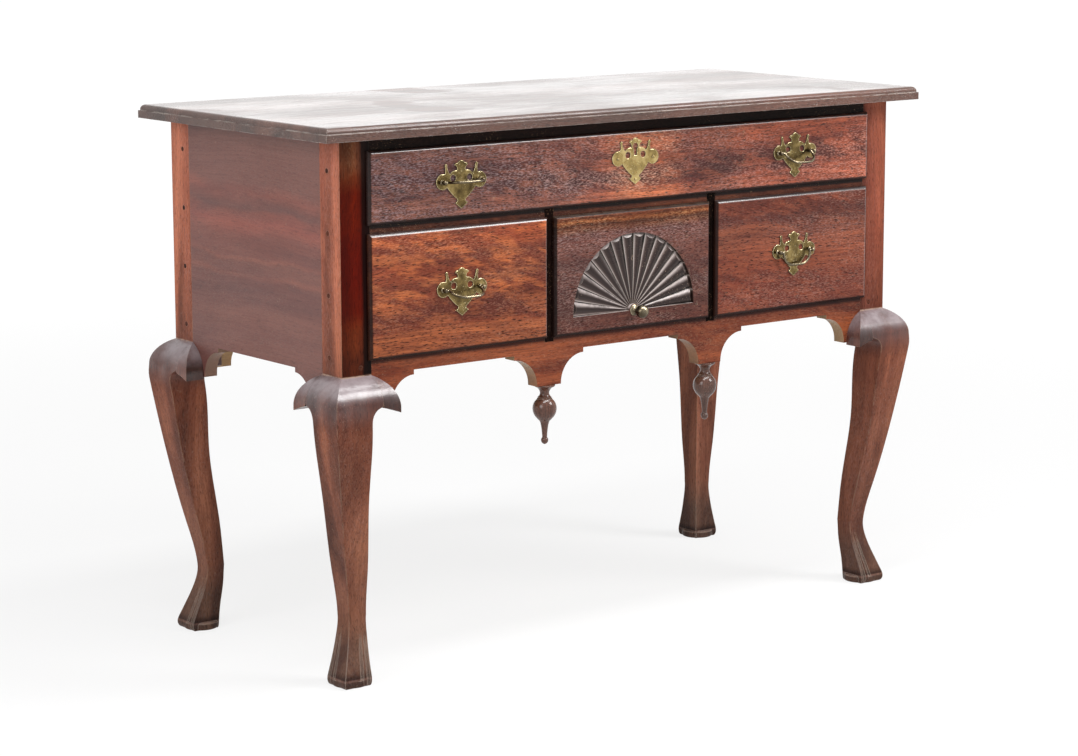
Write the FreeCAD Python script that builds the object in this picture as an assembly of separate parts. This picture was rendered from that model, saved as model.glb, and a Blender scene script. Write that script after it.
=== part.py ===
import FreeCAD, Part
import math
import os

# A mahogany lowboy in the Queen Anne manner: one long drawer over three short ones,
# on four cabriole legs.  Millimetres, +Z up.  The origin is on the floor, under the
# middle of the case.  The front faces -Y.

V = FreeCAD.Vector
X_AXIS = V(1, 0, 0)
Y_AXIS = V(0, 1, 0)
Z_AXIS = V(0, 0, 1)

# ---------------------------------------------------------------- driving sizes
HEIGHT = 762.0                # floor to the upper face of the top board
CASE_W = 991.0                # over the outer faces of the posts
CASE_D = 425.0
CASE_H = 317.0                # the posts, from the knees up to the top board
TOP_T = 19.0                  # top board
OVER_SIDE = 39.0              # how far the top board stands past the case
OVER_FRONT = 29.0
OVER_BACK = 24.0
OVOLO_R = 6.5                 # moulded edge of the top board
QUIRK_H = 1.7
LEDGE = 2.3

POST = 47.0                   # square of the leg above the knee
SIDE_T = 20.0                 # side boards
BACK_T = 16.0
BACK_SET = 3.0                # back board stands this far inside the posts
FRONT_T = 21.0                # apron, rails and stiles
RAIL_DEPTH = 60.0
TENON_T = 8.0
TENON_L = 24.0
TENON_SET = 6.0               # outer face of a board to its tenon
TENON_SHOULDER = 12.0
MORTISE_GAP = 1.0             # spare depth past a tenon's end

# Sections of the leg, all square: where they lie, then their outer faces past the case
# corner, then their inner faces from the case corner.
KNEE_H = 38.0                 # from the post down to where its inner faces end
KNEE_SECTIONS = (             # by the drop below the post
    (0.0, 0.0, POST), (5.0, 9.2, POST), (13.0, 18.4, POST), (24.0, 25.6, POST),
    (KNEE_H, 28.6, POST),
)
CALF_SECTIONS = (             # by the share of the way from the knee to the ankle
    (0.0, 28.6, POST), (0.0085, 28.8, 40.5), (0.0239, 29.1, 33.5), (0.0478, 29.2, 29.4),
    (0.0956, 27.7, 29.2), (0.3345, 17.5, 31.5), (0.6075, 4.2, 36.2), (0.8805, -12.0, 43.2),
    (1.0, -17.0, 45.0),
)
FOOT_SECTIONS = (             # by the height above the floor, from the ankle down
    (95.0, -17.0, 45.0), (77.0, -15.8, 44.2), (60.0, -11.6, 43.0), (33.0, -2.5, 40.0),
    (20.0, 2.2, 39.0), (10.0, 5.2, 38.5), (3.0, 4.4, 38.0), (0.0, 1.5, 37.0),
)
TOE = 5                       # the section where the toes stand out furthest
PAD_H = 11.0
PAD_R = 25.0
PAD_PROUD = 6.0               # pad past the heel's inner faces
PAD_RIM = 3.0                 # rounding of the pad's lower edge
FLUTE_R = 2.5                 # grooves between the toes
FLUTE_DEPTHS = (0.5, 1.2, 1.8, 2.0, 2.1)    # from the arch of the foot down to the toe
FLUTE_SIDES = 8
FLUTES = ((40.5, 33.0), (34.5, 22.5))   # from the case corner: at the arch, at the toe

EAR_W = 27.5                  # knee block beside the leg
EAR_BELLY = 18.0              # the block's curve half way round
EAR_BELLY_DROP = 15.0
EAR_SIDE_DROP = 40.0
EAR_TIP_DROP = 49.5
EAR_ROOT_DROP = 40.5
EAR_SAG = 1.5                 # hollow of the block's lower edge

PEG_R = 3.25
PEG_L = 26.0
PEG_IN = 30.0                 # peg centre from the post's outer face
PEG_FIRST = 24.5              # lowest side peg above the knee's top
PEG_COUNT = 4
PEG_TOP = 42.5                # highest side peg below the case's top
APRON_PEG_UP = 11.7           # apron peg above the knee's top
HOLE_FIT = 0.05               # radial clearance of a pin in its hole

RAIL_T = 21.2                 # height of the rails between drawers
STILE_W = 21.5                # upright between two lower drawers
STILE_X = 148.0
TAIL_TOP_W = 18.0             # dovetailed end of the stile in the rail
TAIL_NECK_W = 14.0
STILE_SINK = 11.0             # lower end of the stile let into the apron
APRON_H = 25.0                # straight part of the apron
STEP_H = 6.5                  # small step where an arch meets its curve
TAB_W = 42.0                  # drop that carries a pendant
TAB_DROP = 47.5
TAB_R = 40.0
RETURN_DROP = 46.0            # drop of the apron beside the legs
RETURN_R = 36.5
FRONT_STEP_IN = 116.5         # step of the arch from the case corner
SIDE_STEP_IN = 114.0

LIP = 5.0                     # drawer front over the edge of its opening
LIP_PROUD = 7.0               # drawer front past the case
LIP_ROUND = 6.0               # rounded edge of a drawer front
LONG_LIP_H = 99.9             # long drawer's front
DRAWER_FIT = 1.5              # drawer to the sides of its opening
RUN_GAP = 0.3                 # drawer above its runner
DRAWER_HEAD = 3.0             # drawer side below its kicker
FRONT_BODY = 14.0             # part of a drawer front inside the opening
DSIDE_T = 11.0                # drawer sides and back
DBOTTOM_T = 7.0
GROOVE_UP = 6.0               # drawer bottom's groove above the side's lower edge
GROOVE_DEPTH = 5.0
GROOVE_FIT = 0.3
DRAWER_TAIL_GAP = 14.0        # drawer's back end to the back board
DBACK_LOW = 6.0               # drawer back below the sides' upper edge
TAIL_L = 9.0                  # half-blind dovetails of the drawer front
TAIL_PITCH = 34.0
TAIL_FLARE = 2.6
TAIL_SHARE = 0.36             # half of a dovetail's wide end, as a share of the pitch

BEARING = 18.0                # width of runner under a drawer side
GUIDE_H = 16.0
GLUE_BLOCK = 20.0
GLUE_BLOCK_L = 70.0
GLUE_BLOCK_X = 250.0

FAN_R = 110.5
FAN_UP = 25.4                 # fan's straight edge above the drawer front's lower edge
FAN_DEPTH = 4.5
FAN_RAYS = 16
FAN_SAG = 4.0                 # how much a ray is rounded at its outer end
FAN_BEVEL = 7.0               # sloping outer ends of the rays
FAN_HUB_R = 9.0

POST_SPREAD = 64.0            # centre to centre of a pull's two posts
PLATE_T = 1.5
PLATE_POST_UP = 4.4           # post line above the middle of the plate
PLATE_UP = 32.8               # height of the plate over its middle
PIERCE_R = 4.6
PIERCE_X = 13.8               # piercings from the plate's middle
PIERCE_UP = 9.0
STANDOFF = 8.0                # bail's axis from the drawer's face
BALL_R = 3.3
SHANK_R = 2.0
NECK_R = 2.4
COLLAR = 1.2                  # turned collar of a post past its neck
COLLAR_H = 0.8
NUT_ACROSS = 9.0
NUT_T = 3.0
SHANK_PAST = 1.5              # shank past its nut
BAIL_R = 1.9
PIN_R = 1.3
PIN_IN = 2.0                  # pin's end past the middle of its ball
BAIL_HALF = 26.0
BAIL_DROP = 19.5
BAIL_BEND = 17.0
BAIL_ANGLES = {"top_left": 95.0, "top_right": 47.0, "left": 64.0, "right": 2.0}
ESCUTCHEON_UP = 6.8           # plate's middle above the middle of the long drawer
KEY_UP = 21.0                 # round end of the keyhole above the plate's middle
KEY_SLOT_UP = 8.0
KEY_SLOT_W = 5.2
FOOT_NAIL_DROP = 25.5
NAIL_HEAD_R = 2.3
NAIL_R = 0.8
NAIL_L = 9.0
NAIL_HEAD_H = 1.2
KNOB_R = 9.5
KNOB_OUT = 17.5               # knob's middle from the drawer's face
KNOB_BASE_R = 8.0
KNOB_BASE_T = 2.0
KNOB_NECK_R = 3.4
KNOB_FOOT = 2.0               # hollow between the knob's base and its neck

PENDANT_FLANGE_R = 15.0
PENDANT_FLANGE_T = 2.5
PENDANT_NECK_R = 6.2
PENDANT_NECK_DROP = 14.0
PENDANT_BALL_R = 17.4
PENDANT_BALL_DROP = 34.5
PENDANT_STEM_DROP = 76.0
PENDANT_STEM_R = 3.4
PENDANT_BUTTON_R = 5.3
PENDANT_PIN_R = 5.0
PENDANT_PIN_L = 16.0
PENDANT_COVE = 1.5            # hollow between the flange and the neck
PENDANT_TAPER = 0.6           # hollow of the long stem

# ---------------------------------------------------------------- derived places
HALF_W = CASE_W / 2
HALF_D = CASE_D / 2
CASE_TOP = HEIGHT - TOP_T
KNEE_TOP = CASE_TOP - CASE_H               # where the knee leaves the post
KNEE_END = KNEE_TOP - KNEE_H
FRONT_Y = -HALF_D
FACE_Y = FRONT_Y - LIP_PROUD
BACK_Y = HALF_D - BACK_SET - BACK_T        # inner face of the back board
POST_X = HALF_W - POST                     # inner face of a post
KNEE_OUT = CALF_SECTIONS[3][1]             # bulge of the knee past the case
ANKLE_Z = FOOT_SECTIONS[0][0]
TOE_Z, _, HEEL_IN = FOOT_SECTIONS[TOE]
PAD_IN = HEEL_IN + PAD_PROUD - PAD_R       # pad's centre from the case corner

LOW_Z0 = KNEE_TOP + APRON_H                # lower drawers' opening
LONG_Z1 = CASE_TOP - RAIL_T
LONG_Z0 = LONG_Z1 - (LONG_LIP_H - 2 * LIP)
LOW_Z1 = LONG_Z0 - RAIL_T
STILE_IN = STILE_X - STILE_W / 2
STILE_OUT = STILE_X + STILE_W / 2
PULL_X = (STILE_OUT + POST_X) / 2          # middle of an outer short drawer

OPENINGS = {
    "top": (-POST_X, POST_X, LONG_Z0, LONG_Z1),
    "left": (-POST_X, -STILE_OUT, LOW_Z0, LOW_Z1),
    "centre": (-STILE_IN, STILE_IN, LOW_Z0, LOW_Z1),
    "right": (STILE_OUT, POST_X, LOW_Z0, LOW_Z1),
}
LONG_MID = (LONG_Z0 + LONG_Z1) / 2
LOW_MID = (LOW_Z0 + LOW_Z1) / 2
FAN_Z = LOW_Z0 - LIP + FAN_UP
PULLS = {
    "top_left": (-PULL_X, LONG_MID),
    "top_right": (PULL_X, LONG_MID),
    "left": (-PULL_X, LOW_MID),
    "right": (PULL_X, LOW_MID),
}


# ---------------------------------------------------------------- helpers
def block(x0, x1, y0, y1, z0, z1):
    """Box between two corners."""
    return Part.makeBox(x1 - x0, y1 - y0, z1 - z0, V(x0, y0, z0))


def rod(start, direction, radius, length):
    """Cylinder from a point along a direction."""
    return Part.makeCylinder(radius, length, start, direction)


def spline(points):
    """Smooth edge through points."""
    curve = Part.BSplineCurve()
    curve.interpolate(points)
    return curve.toShape()


def arc(a, b, c):
    """Circular arc through three points."""
    return Part.Arc(a, b, c).toShape()


def polygon_edges(points):
    """Straight edges joining points in order, left open."""
    return [Part.makeLine(p, q) for p, q in zip(points, points[1:])]


def face_of(edges):
    """Flat face inside a closed run of edges."""
    return Part.Face(Part.Wire(Part.__sortEdges__(edges)))


def prism(edges, direction):
    """Solid made by pushing a closed outline along a direction."""
    return face_of(edges).extrude(direction)


def lathe(edges, origin, axis):
    """Solid of revolution from a closed half outline."""
    return face_of(edges).revolve(origin, axis, 360)


def joined(shapes):
    """One solid from overlapping or touching solids."""
    first = shapes[0]
    rest = shapes[1:]
    return first.fuse(rest).removeSplitter() if rest else first


def mirror_x(shape):
    return shape.mirror(V(0, 0, 0), X_AXIS)


def mirror_y(shape):
    return shape.mirror(V(0, 0, 0), Y_AXIS)


def swap_corner(shape):
    """Mirror about the upright diagonal plane of the front left corner."""
    corner = V(-HALF_W, FRONT_Y, 0)
    return shape.mirror(corner, V(1, -1, 0))


def save(name, solids):
    """Write a node; several solids make a group of separate pieces."""
    if not isinstance(solids, (list, tuple)):
        solids = [solids]
    shape = solids[0] if len(solids) == 1 else Part.makeCompound(list(solids))
    shape.exportStep("parts/" + name + ".step")


# ---------------------------------------------------------------- pegs and tenons
def peg_heights():
    """Heights of the pegs along one edge of a side board."""
    low = KNEE_TOP + PEG_FIRST
    high = CASE_TOP - PEG_TOP
    step = (high - low) / (PEG_COUNT - 1)
    return [low + i * step for i in range(PEG_COUNT)]


def side_pegs(radius):
    """Pegs of the front left post's side joint, the peg's end flush with the post."""
    start_y = FRONT_Y + PEG_IN
    return [rod(V(-HALF_W, start_y, z), X_AXIS, radius, PEG_L) for z in peg_heights()]


def apron_peg(radius):
    """Peg through the front left post into the apron's tenon."""
    return rod(V(-HALF_W + PEG_IN, FRONT_Y, KNEE_TOP + APRON_PEG_UP), Y_AXIS, radius, PEG_L)


def side_tenon(spare=0.0):
    """Tenon at the front end of the left side board."""
    x0 = -HALF_W + TENON_SET
    y1 = FRONT_Y + POST
    return block(x0, x0 + TENON_T, y1 - TENON_L - spare, y1,
                 KNEE_TOP + TENON_SHOULDER, CASE_TOP - TENON_SHOULDER)


def front_tenon(z0, z1, spare=0.0):
    """Tenon at the left end of a rail or the apron."""
    y0 = FRONT_Y + TENON_SET
    return block(-POST_X - TENON_L - spare, -POST_X, y0, y0 + TENON_T, z0, z1)


def back_tenon(spare=0.0):
    """Tenon at the left end of the back board."""
    y0 = BACK_Y + (BACK_T - TENON_T) / 2
    return block(-POST_X - TENON_L - spare, -POST_X, y0, y0 + TENON_T,
                 KNEE_TOP + TENON_SHOULDER, CASE_TOP - TENON_SHOULDER)


def rail_tenon_span(z0):
    """Lower and upper edge of a rail's tenon."""
    inset = (RAIL_T - TENON_T) / 2
    return z0 + inset, z0 + RAIL_T - inset


def front_tenons(spare=0.0):
    """Tenons of the apron, the middle rail and the top rail in the front left post."""
    spans = [(KNEE_TOP + TENON_SET, LOW_Z0 - TENON_SET),
             rail_tenon_span(LOW_Z1), rail_tenon_span(LONG_Z1)]
    return [front_tenon(z0, z1, spare) for z0, z1 in spans]


# ---------------------------------------------------------------- legs
def leg_section(z, out, inward):
    """Square section of the front left leg at a height."""
    x0 = -HALF_W - out
    x1 = -HALF_W + inward
    y0 = FRONT_Y - out
    y1 = FRONT_Y + inward
    corners = [V(x0, y0, z), V(x1, y0, z), V(x1, y1, z), V(x0, y1, z), V(x0, y0, z)]
    return Part.makePolygon(corners)


def knee_heights():
    """Sections of the knee with their heights."""
    return [(KNEE_TOP - drop, out, inward) for drop, out, inward in KNEE_SECTIONS]


def calf_heights():
    """Sections of the calf with their heights."""
    length = KNEE_END - ANKLE_Z
    return [(KNEE_END - share * length, out, inward) for share, out, inward in CALF_SECTIONS]


def loft_through(sections):
    """Solid through square sections of the leg."""
    return Part.makeLoft([leg_section(*section) for section in sections], True, False, False, 3)


def flute_ring(x, y, z):
    """Level outline of a groove, with a flat towards the wood."""
    turn = 2 * math.pi / FLUTE_SIDES
    points = []
    for i in range(FLUTE_SIDES):
        angle = (i + 0.5) * turn
        points.append(V(x + FLUTE_R * math.sin(angle), y + FLUTE_R * math.cos(angle), z))
    return Part.makePolygon([*points, points[0]])


def flute(arch_in, toe_in):
    """Groove down the front face of the front left foot and over its toe."""
    arch_z = FOOT_SECTIONS[1][0]
    rings = []
    for (z, out, _), depth in zip(FOOT_SECTIONS[1:TOE + 1], FLUTE_DEPTHS):
        inward = arch_in + (toe_in - arch_in) * (arch_z - z) / (arch_z - TOE_Z)
        rings.append(flute_ring(-HALF_W + inward, FRONT_Y - out - FLUTE_R + depth, z))
    rings.append(rings[-1].translated(V(0, 0, -2 * TOE_Z)))
    return Part.makeLoft(rings, True, True)


def pad():
    """Round pad under the front left foot."""
    x = -HALF_W + PAD_IN
    y = FRONT_Y + PAD_IN

    def at(r, z):
        return V(x + r, y, z)

    shoulder = PAD_RIM / 2
    edges = polygon_edges([at(0, PAD_H), at(0, 0), at(PAD_R - PAD_RIM, 0)])
    edges.append(arc(at(PAD_R - PAD_RIM, 0), at(PAD_R - 0.2 * PAD_RIM, 0.4 * PAD_RIM),
                     at(PAD_R, 1.3 * PAD_RIM)))
    edges += polygon_edges([at(PAD_R, 1.3 * PAD_RIM), at(PAD_R, PAD_H - shoulder),
                            at(PAD_R - shoulder, PAD_H), at(0, PAD_H)])
    return lathe(edges, V(x, y, 0), Z_AXIS)


def leg_blank():
    """Front left leg in one piece: post, knee, calf, foot with its flutes, and pad."""
    post = block(-HALF_W, -POST_X, FRONT_Y, FRONT_Y + POST, KNEE_TOP, CASE_TOP)
    parts = [loft_through(sections)
             for sections in (knee_heights(), calf_heights(), FOOT_SECTIONS)]
    leg = post.fuse(parts)
    for arch_in, toe_in in FLUTES:
        groove = flute(arch_in, toe_in)
        leg = leg.cut([groove, swap_corner(groove)])
    return leg.fuse(pad()).removeSplitter()


def front_leg():
    """Front left leg with its mortises and peg holes."""
    hole = PEG_R + HOLE_FIT
    tools = [side_tenon(MORTISE_GAP), *front_tenons(MORTISE_GAP)]
    tools += side_pegs(hole)
    tools.append(apron_peg(hole))
    return leg_blank().cut(tools)


def back_leg():
    """Back left leg: the blank turned round, with its own mortises."""
    hole = PEG_R + HOLE_FIT
    tools = [mirror_y(side_tenon(MORTISE_GAP)), back_tenon(MORTISE_GAP)]
    tools += [mirror_y(peg) for peg in side_pegs(hole)]
    return mirror_y(leg_blank()).cut(tools)


def knee_block():
    """Ear on the apron beside the front left knee, shaped by the same knee curve."""
    def at(inward, z, y=FRONT_Y):
        return V(-HALF_W + inward, y, z)

    tip = KNEE_TOP - EAR_TIP_DROP
    side = KNEE_TOP - EAR_SIDE_DROP
    root = KNEE_TOP - EAR_ROOT_DROP
    ear = [
        arc(at(POST, KNEE_TOP), at(POST + EAR_BELLY, KNEE_TOP - EAR_BELLY_DROP),
            at(POST + EAR_W, side)),
        Part.makeLine(at(POST + EAR_W, side), at(POST + EAR_W, tip)),
        arc(at(POST + EAR_W, tip), at(POST + 0.4 * EAR_W, (tip + root) / 2 + EAR_SAG),
            at(POST, root)),
        Part.makeLine(at(POST, root), at(POST, KNEE_TOP)),
    ]
    body = prism(ear, V(0, -KNEE_OUT - 1, 0))

    def front_line(section):
        z, out, _ = section
        return V(-HALF_W, FRONT_Y - out, z)

    points = [front_line(section) for section in knee_heights()[:-1] + calf_heights()[3:6]]
    low = points[-1]
    knee = [spline(points),
            *polygon_edges([low, V(-HALF_W, FRONT_Y + POST, low.z),
                            V(-HALF_W, FRONT_Y + POST, KNEE_TOP), points[0]])]
    return body.common(prism(knee, V(POST + 2 * EAR_W, 0, 0)))


# ---------------------------------------------------------------- case boards
def return_edges(at, step_in):
    """Left half of an arch: from the leg, round the return, to the small step."""
    drop = KNEE_TOP - RETURN_DROP
    shoulder = KNEE_TOP - STEP_H
    centre_z = shoulder - RETURN_R
    end_in = step_in - RETURN_R
    bend = math.sqrt(0.5) * RETURN_R
    return [
        *polygon_edges([at(POST, drop), at(end_in, drop), at(end_in, centre_z)]),
        arc(at(end_in, centre_z), at(step_in - bend, centre_z + bend), at(step_in, shoulder)),
        Part.makeLine(at(step_in, shoulder), at(step_in, KNEE_TOP)),
    ]


def side_board():
    """Left side board with its arched lower edge and its four-pegged tenons."""
    def at(inward, z):
        return V(-HALF_W, FRONT_Y + inward, z)

    lower = return_edges(at, SIDE_STEP_IN)
    far = [edge.mirror(V(0, 0, 0), Y_AXIS) for edge in lower]
    rest = [Part.makeLine(at(SIDE_STEP_IN, KNEE_TOP), at(CASE_D - SIDE_STEP_IN, KNEE_TOP)),
            *polygon_edges([at(POST, KNEE_TOP - RETURN_DROP), at(POST, CASE_TOP),
                            at(CASE_D - POST, CASE_TOP),
                            at(CASE_D - POST, KNEE_TOP - RETURN_DROP)])]
    board = prism(lower + far + rest, V(SIDE_T, 0, 0))
    tenon = side_tenon()
    board = joined([board, tenon, mirror_y(tenon)])
    holes = side_pegs(PEG_R + HOLE_FIT)
    return board.cut(holes + [mirror_y(hole) for hole in holes])


def back_board():
    """Back board, tenoned between the back posts, its lower edge cut like the front's."""
    def at(inward, z):
        return V(-HALF_W + inward, BACK_Y, z)

    lower = return_edges(at, FRONT_STEP_IN)
    far = [edge.mirror(V(0, 0, 0), X_AXIS) for edge in lower]
    rest = [Part.makeLine(at(FRONT_STEP_IN, KNEE_TOP), at(CASE_W - FRONT_STEP_IN, KNEE_TOP)),
            *polygon_edges([at(POST, KNEE_TOP - RETURN_DROP), at(POST, CASE_TOP),
                            at(CASE_W - POST, CASE_TOP),
                            at(CASE_W - POST, KNEE_TOP - RETURN_DROP)])]
    board = prism(lower + far + rest, V(0, BACK_T, 0))
    tenon = back_tenon()
    return joined([board, tenon, mirror_x(tenon)])


def tab_edges(at, centre):
    """Drop with two curved sides, from its left step to its right step."""
    half = TAB_W / 2
    low = KNEE_TOP - TAB_DROP
    shoulder = KNEE_TOP - STEP_H
    centre_z = shoulder - TAB_R
    bend = math.sqrt(0.5) * TAB_R
    reach = half + TAB_R
    left = [
        Part.makeLine(at(centre - reach, KNEE_TOP), at(centre - reach, shoulder)),
        arc(at(centre - reach, shoulder), at(centre - reach + bend, centre_z + bend),
            at(centre - half, centre_z)),
        Part.makeLine(at(centre - half, centre_z), at(centre - half, low)),
    ]
    right = [edge.mirror(at(centre, 0), X_AXIS) for edge in left]
    return left + [Part.makeLine(at(centre - half, low), at(centre + half, low))] + right


def stile_foot(x):
    """Lower end of a stile, let into the apron."""
    half = (TAIL_NECK_W + TAIL_TOP_W) / 4
    return block(x - half, x + half, FRONT_Y, FRONT_Y + FRONT_T, LOW_Z0 - STILE_SINK, LOW_Z0)


def stile_tail(x):
    """Dovetailed upper end of a stile, as wide as the rail is high."""
    def at(dx, z):
        return V(x + dx, FRONT_Y, z)

    neck = TAIL_NECK_W / 2
    top = TAIL_TOP_W / 2
    outline = polygon_edges([at(-neck, LOW_Z1), at(neck, LOW_Z1), at(top, LONG_Z0),
                             at(-top, LONG_Z0), at(-neck, LOW_Z1)])
    return prism(outline, V(0, FRONT_T, 0))


def pendant_hole(x):
    """Hole in a drop's lower end for a pendant's pin."""
    y = FRONT_Y + FRONT_T / 2
    low = KNEE_TOP - TAB_DROP
    return rod(V(x, y, low), Z_AXIS, PENDANT_PIN_R + HOLE_FIT, PENDANT_PIN_L + MORTISE_GAP)


def front_apron():
    """Apron with three arches, two drops and a return at each leg."""
    def at(x, z):
        return V(x, FRONT_Y, z)

    def from_corner(inward, z):
        return at(-HALF_W + inward, z)

    ends = return_edges(from_corner, FRONT_STEP_IN)
    ends += [edge.mirror(V(0, 0, 0), X_AXIS) for edge in ends]
    tabs = tab_edges(at, -STILE_X) + tab_edges(at, STILE_X)
    reach = TAB_W / 2 + TAB_R
    step = HALF_W - FRONT_STEP_IN
    flats = [Part.makeLine(at(-step, KNEE_TOP), at(-STILE_X - reach, KNEE_TOP)),
             Part.makeLine(at(-STILE_X + reach, KNEE_TOP), at(STILE_X - reach, KNEE_TOP)),
             Part.makeLine(at(STILE_X + reach, KNEE_TOP), at(step, KNEE_TOP))]
    drop = KNEE_TOP - RETURN_DROP
    upper = polygon_edges([at(-POST_X, drop), at(-POST_X, LOW_Z0), at(POST_X, LOW_Z0),
                           at(POST_X, drop)])
    board = prism(ends + tabs + flats + upper, V(0, FRONT_T, 0))
    tenon = front_tenons()[0]
    board = joined([board, tenon, mirror_x(tenon)])
    hole = apron_peg(PEG_R + HOLE_FIT)
    cuts = [hole, mirror_x(hole)]
    for x in (-STILE_X, STILE_X):
        cuts += [stile_foot(x), pendant_hole(x)]
    return board.cut(cuts)


def rail(z0, tenon):
    """Board across the front between two posts, with a tenon at each end."""
    board = block(-POST_X, POST_X, FRONT_Y, FRONT_Y + RAIL_DEPTH, z0, z0 + RAIL_T)
    return joined([board, tenon, mirror_x(tenon)])


def middle_rail():
    """Rail over the short drawers, cut for the stiles' dovetails."""
    tails = [stile_tail(x) for x in (-STILE_X, STILE_X)]
    return rail(LOW_Z1, front_tenons()[1]).cut(tails)


def stile(x):
    """Upright between two short drawers."""
    half = STILE_W / 2
    body = block(x - half, x + half, FRONT_Y, FRONT_Y + FRONT_T, LOW_Z0, LOW_Z1)
    return joined([body, stile_tail(x), stile_foot(x)])


def top_board():
    """Top board: a square fascia, a ledge and an ovolo all round."""
    fascia_h = TOP_T - OVOLO_R - QUIRK_H
    x = HALF_W + OVER_SIDE
    y0 = FRONT_Y - OVER_FRONT
    y1 = HALF_D + OVER_BACK
    fascia = block(-x, x, y0, y1, CASE_TOP, CASE_TOP + fascia_h)
    upper = block(-x + LEDGE, x - LEDGE, y0 + LEDGE, y1 - LEDGE, CASE_TOP, HEIGHT)
    rim = [e for e in upper.Edges if e.BoundBox.ZMin > HEIGHT - QUIRK_H]
    return joined([fascia, upper.makeFillet(OVOLO_R, rim)])


# ---------------------------------------------------------------- drawer supports
def runner(x0, x1, y0, z1):
    """Runner back to the back board, its upper face at z1, notched round the posts."""
    body = block(x0, x1, y0, BACK_Y, z1 - RAIL_T, z1)
    front_post = block(-HALF_W, -POST_X, FRONT_Y, FRONT_Y + POST, 0, HEIGHT)
    posts = [front_post, mirror_y(front_post)]
    posts += [mirror_x(post) for post in posts]
    return body.cut(posts)


def side_runner(y0, z1):
    """Left runner: against the side board, and under the drawer's edge."""
    return runner(-HALF_W + SIDE_T, -POST_X + BEARING, y0, z1)


def centre_runner(x, y0, z1):
    """Runner behind a stile, shared by the drawers on both sides."""
    reach = STILE_W / 2 + BEARING
    return runner(x - reach, x + reach, y0, z1)


def side_guide(z0):
    """Strip that fills the side from post to post beside a drawer."""
    return block(-HALF_W + SIDE_T, -POST_X, FRONT_Y + POST, HALF_D - POST, z0, z0 + GUIDE_H)


def centre_guide(x):
    """Strip between two short drawers."""
    half = STILE_W / 2
    return block(x - half, x + half, FRONT_Y + FRONT_T, BACK_Y, LOW_Z0, LOW_Z0 + GUIDE_H)


def glue_block(x):
    """Three-cornered block between the back board and the top board."""
    def at(y, z):
        return V(x - GLUE_BLOCK_L / 2, y, z)

    outline = polygon_edges([at(BACK_Y, CASE_TOP), at(BACK_Y - GLUE_BLOCK, CASE_TOP),
                             at(BACK_Y, CASE_TOP - GLUE_BLOCK), at(BACK_Y, CASE_TOP)])
    return prism(outline, V(GLUE_BLOCK_L, 0, 0))


# ---------------------------------------------------------------- drawers
def tail_centres(z0, z1):
    """Middles of the dovetails along a drawer corner."""
    count = max(2, round((z1 - z0) / TAIL_PITCH))
    pitch = (z1 - z0) / count
    return [z0 + (i + 0.5) * pitch for i in range(count)], pitch


def tails(x0, y_neck, y_end, z0, z1):
    """Dovetails on a drawer side: narrow at the neck, wide at the end."""
    centres, pitch = tail_centres(z0, z1)
    wide = TAIL_SHARE * pitch
    shapes = []
    for z in centres:
        neck = wide - TAIL_FLARE
        outline = polygon_edges([V(x0, y_neck, z - neck), V(x0, y_end, z - wide),
                                 V(x0, y_end, z + wide), V(x0, y_neck, z + neck),
                                 V(x0, y_neck, z - neck)])
        shapes.append(prism(outline, V(DSIDE_T, 0, 0)))
    return shapes


def drawer_span(opening):
    """Outer box of the drawer behind its front: x0, x1, z0, z1."""
    x0, x1, z0, z1 = opening
    return x0 + DRAWER_FIT, x1 - DRAWER_FIT, z0 + RUN_GAP, z1 - DRAWER_HEAD


FRONT_BACK_Y = FRONT_Y + FRONT_BODY                    # inner face of a drawer front
DRAWER_END_Y = BACK_Y - DRAWER_TAIL_GAP                # outer face of a drawer's back
DBACK_Y = DRAWER_END_Y - DSIDE_T


def corner_tails(opening):
    """All dovetails of a drawer: at its front and at its back."""
    x0, x1, z0, z1 = drawer_span(opening)
    front_tails = []
    back_tails = []
    for x in (x0, x1 - DSIDE_T):
        front_tails += tails(x, FRONT_BACK_Y, FRONT_BACK_Y - TAIL_L, z0, z1)
        back_tails += tails(x, DBACK_Y, DRAWER_END_Y, z0, z1)
    return front_tails, back_tails


def bottom_slot(opening, fit):
    """Space of the drawer's bottom board, with its edges in the grooves."""
    x0, x1, z0, _ = drawer_span(opening)
    reach = DSIDE_T - GROOVE_DEPTH
    return block(x0 + reach - fit, x1 - reach + fit, FRONT_BACK_Y - GROOVE_DEPTH - fit,
                 DRAWER_END_Y + fit, z0 + GROOVE_UP - fit, z0 + GROOVE_UP + DBOTTOM_T + fit)


def drawer_sides(opening):
    """The two sides of a drawer, dovetailed and grooved."""
    x0, x1, z0, z1 = drawer_span(opening)
    front_tails, back_tails = corner_tails(opening)
    slot = bottom_slot(opening, GROOVE_FIT)
    sides = []
    for x in (x0, x1 - DSIDE_T):
        board = block(x, x + DSIDE_T, FRONT_BACK_Y, DBACK_Y, z0, z1)
        near = [t for t in front_tails + back_tails if abs(t.BoundBox.XMin - x) < DSIDE_T / 2]
        sides.append(joined([board, *near]).cut(slot))
    return sides


def drawer_back(opening):
    """Back of a drawer, on top of the bottom board, with sockets for the side tails."""
    x0, x1, z0, z1 = drawer_span(opening)
    board = block(x0, x1, DBACK_Y, DRAWER_END_Y, z0 + GROOVE_UP + DBOTTOM_T + GROOVE_FIT,
                  z1 - DBACK_LOW)
    board = board.cut(corner_tails(opening)[1])
    return max(board.Solids, key=lambda solid: solid.Volume)


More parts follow.
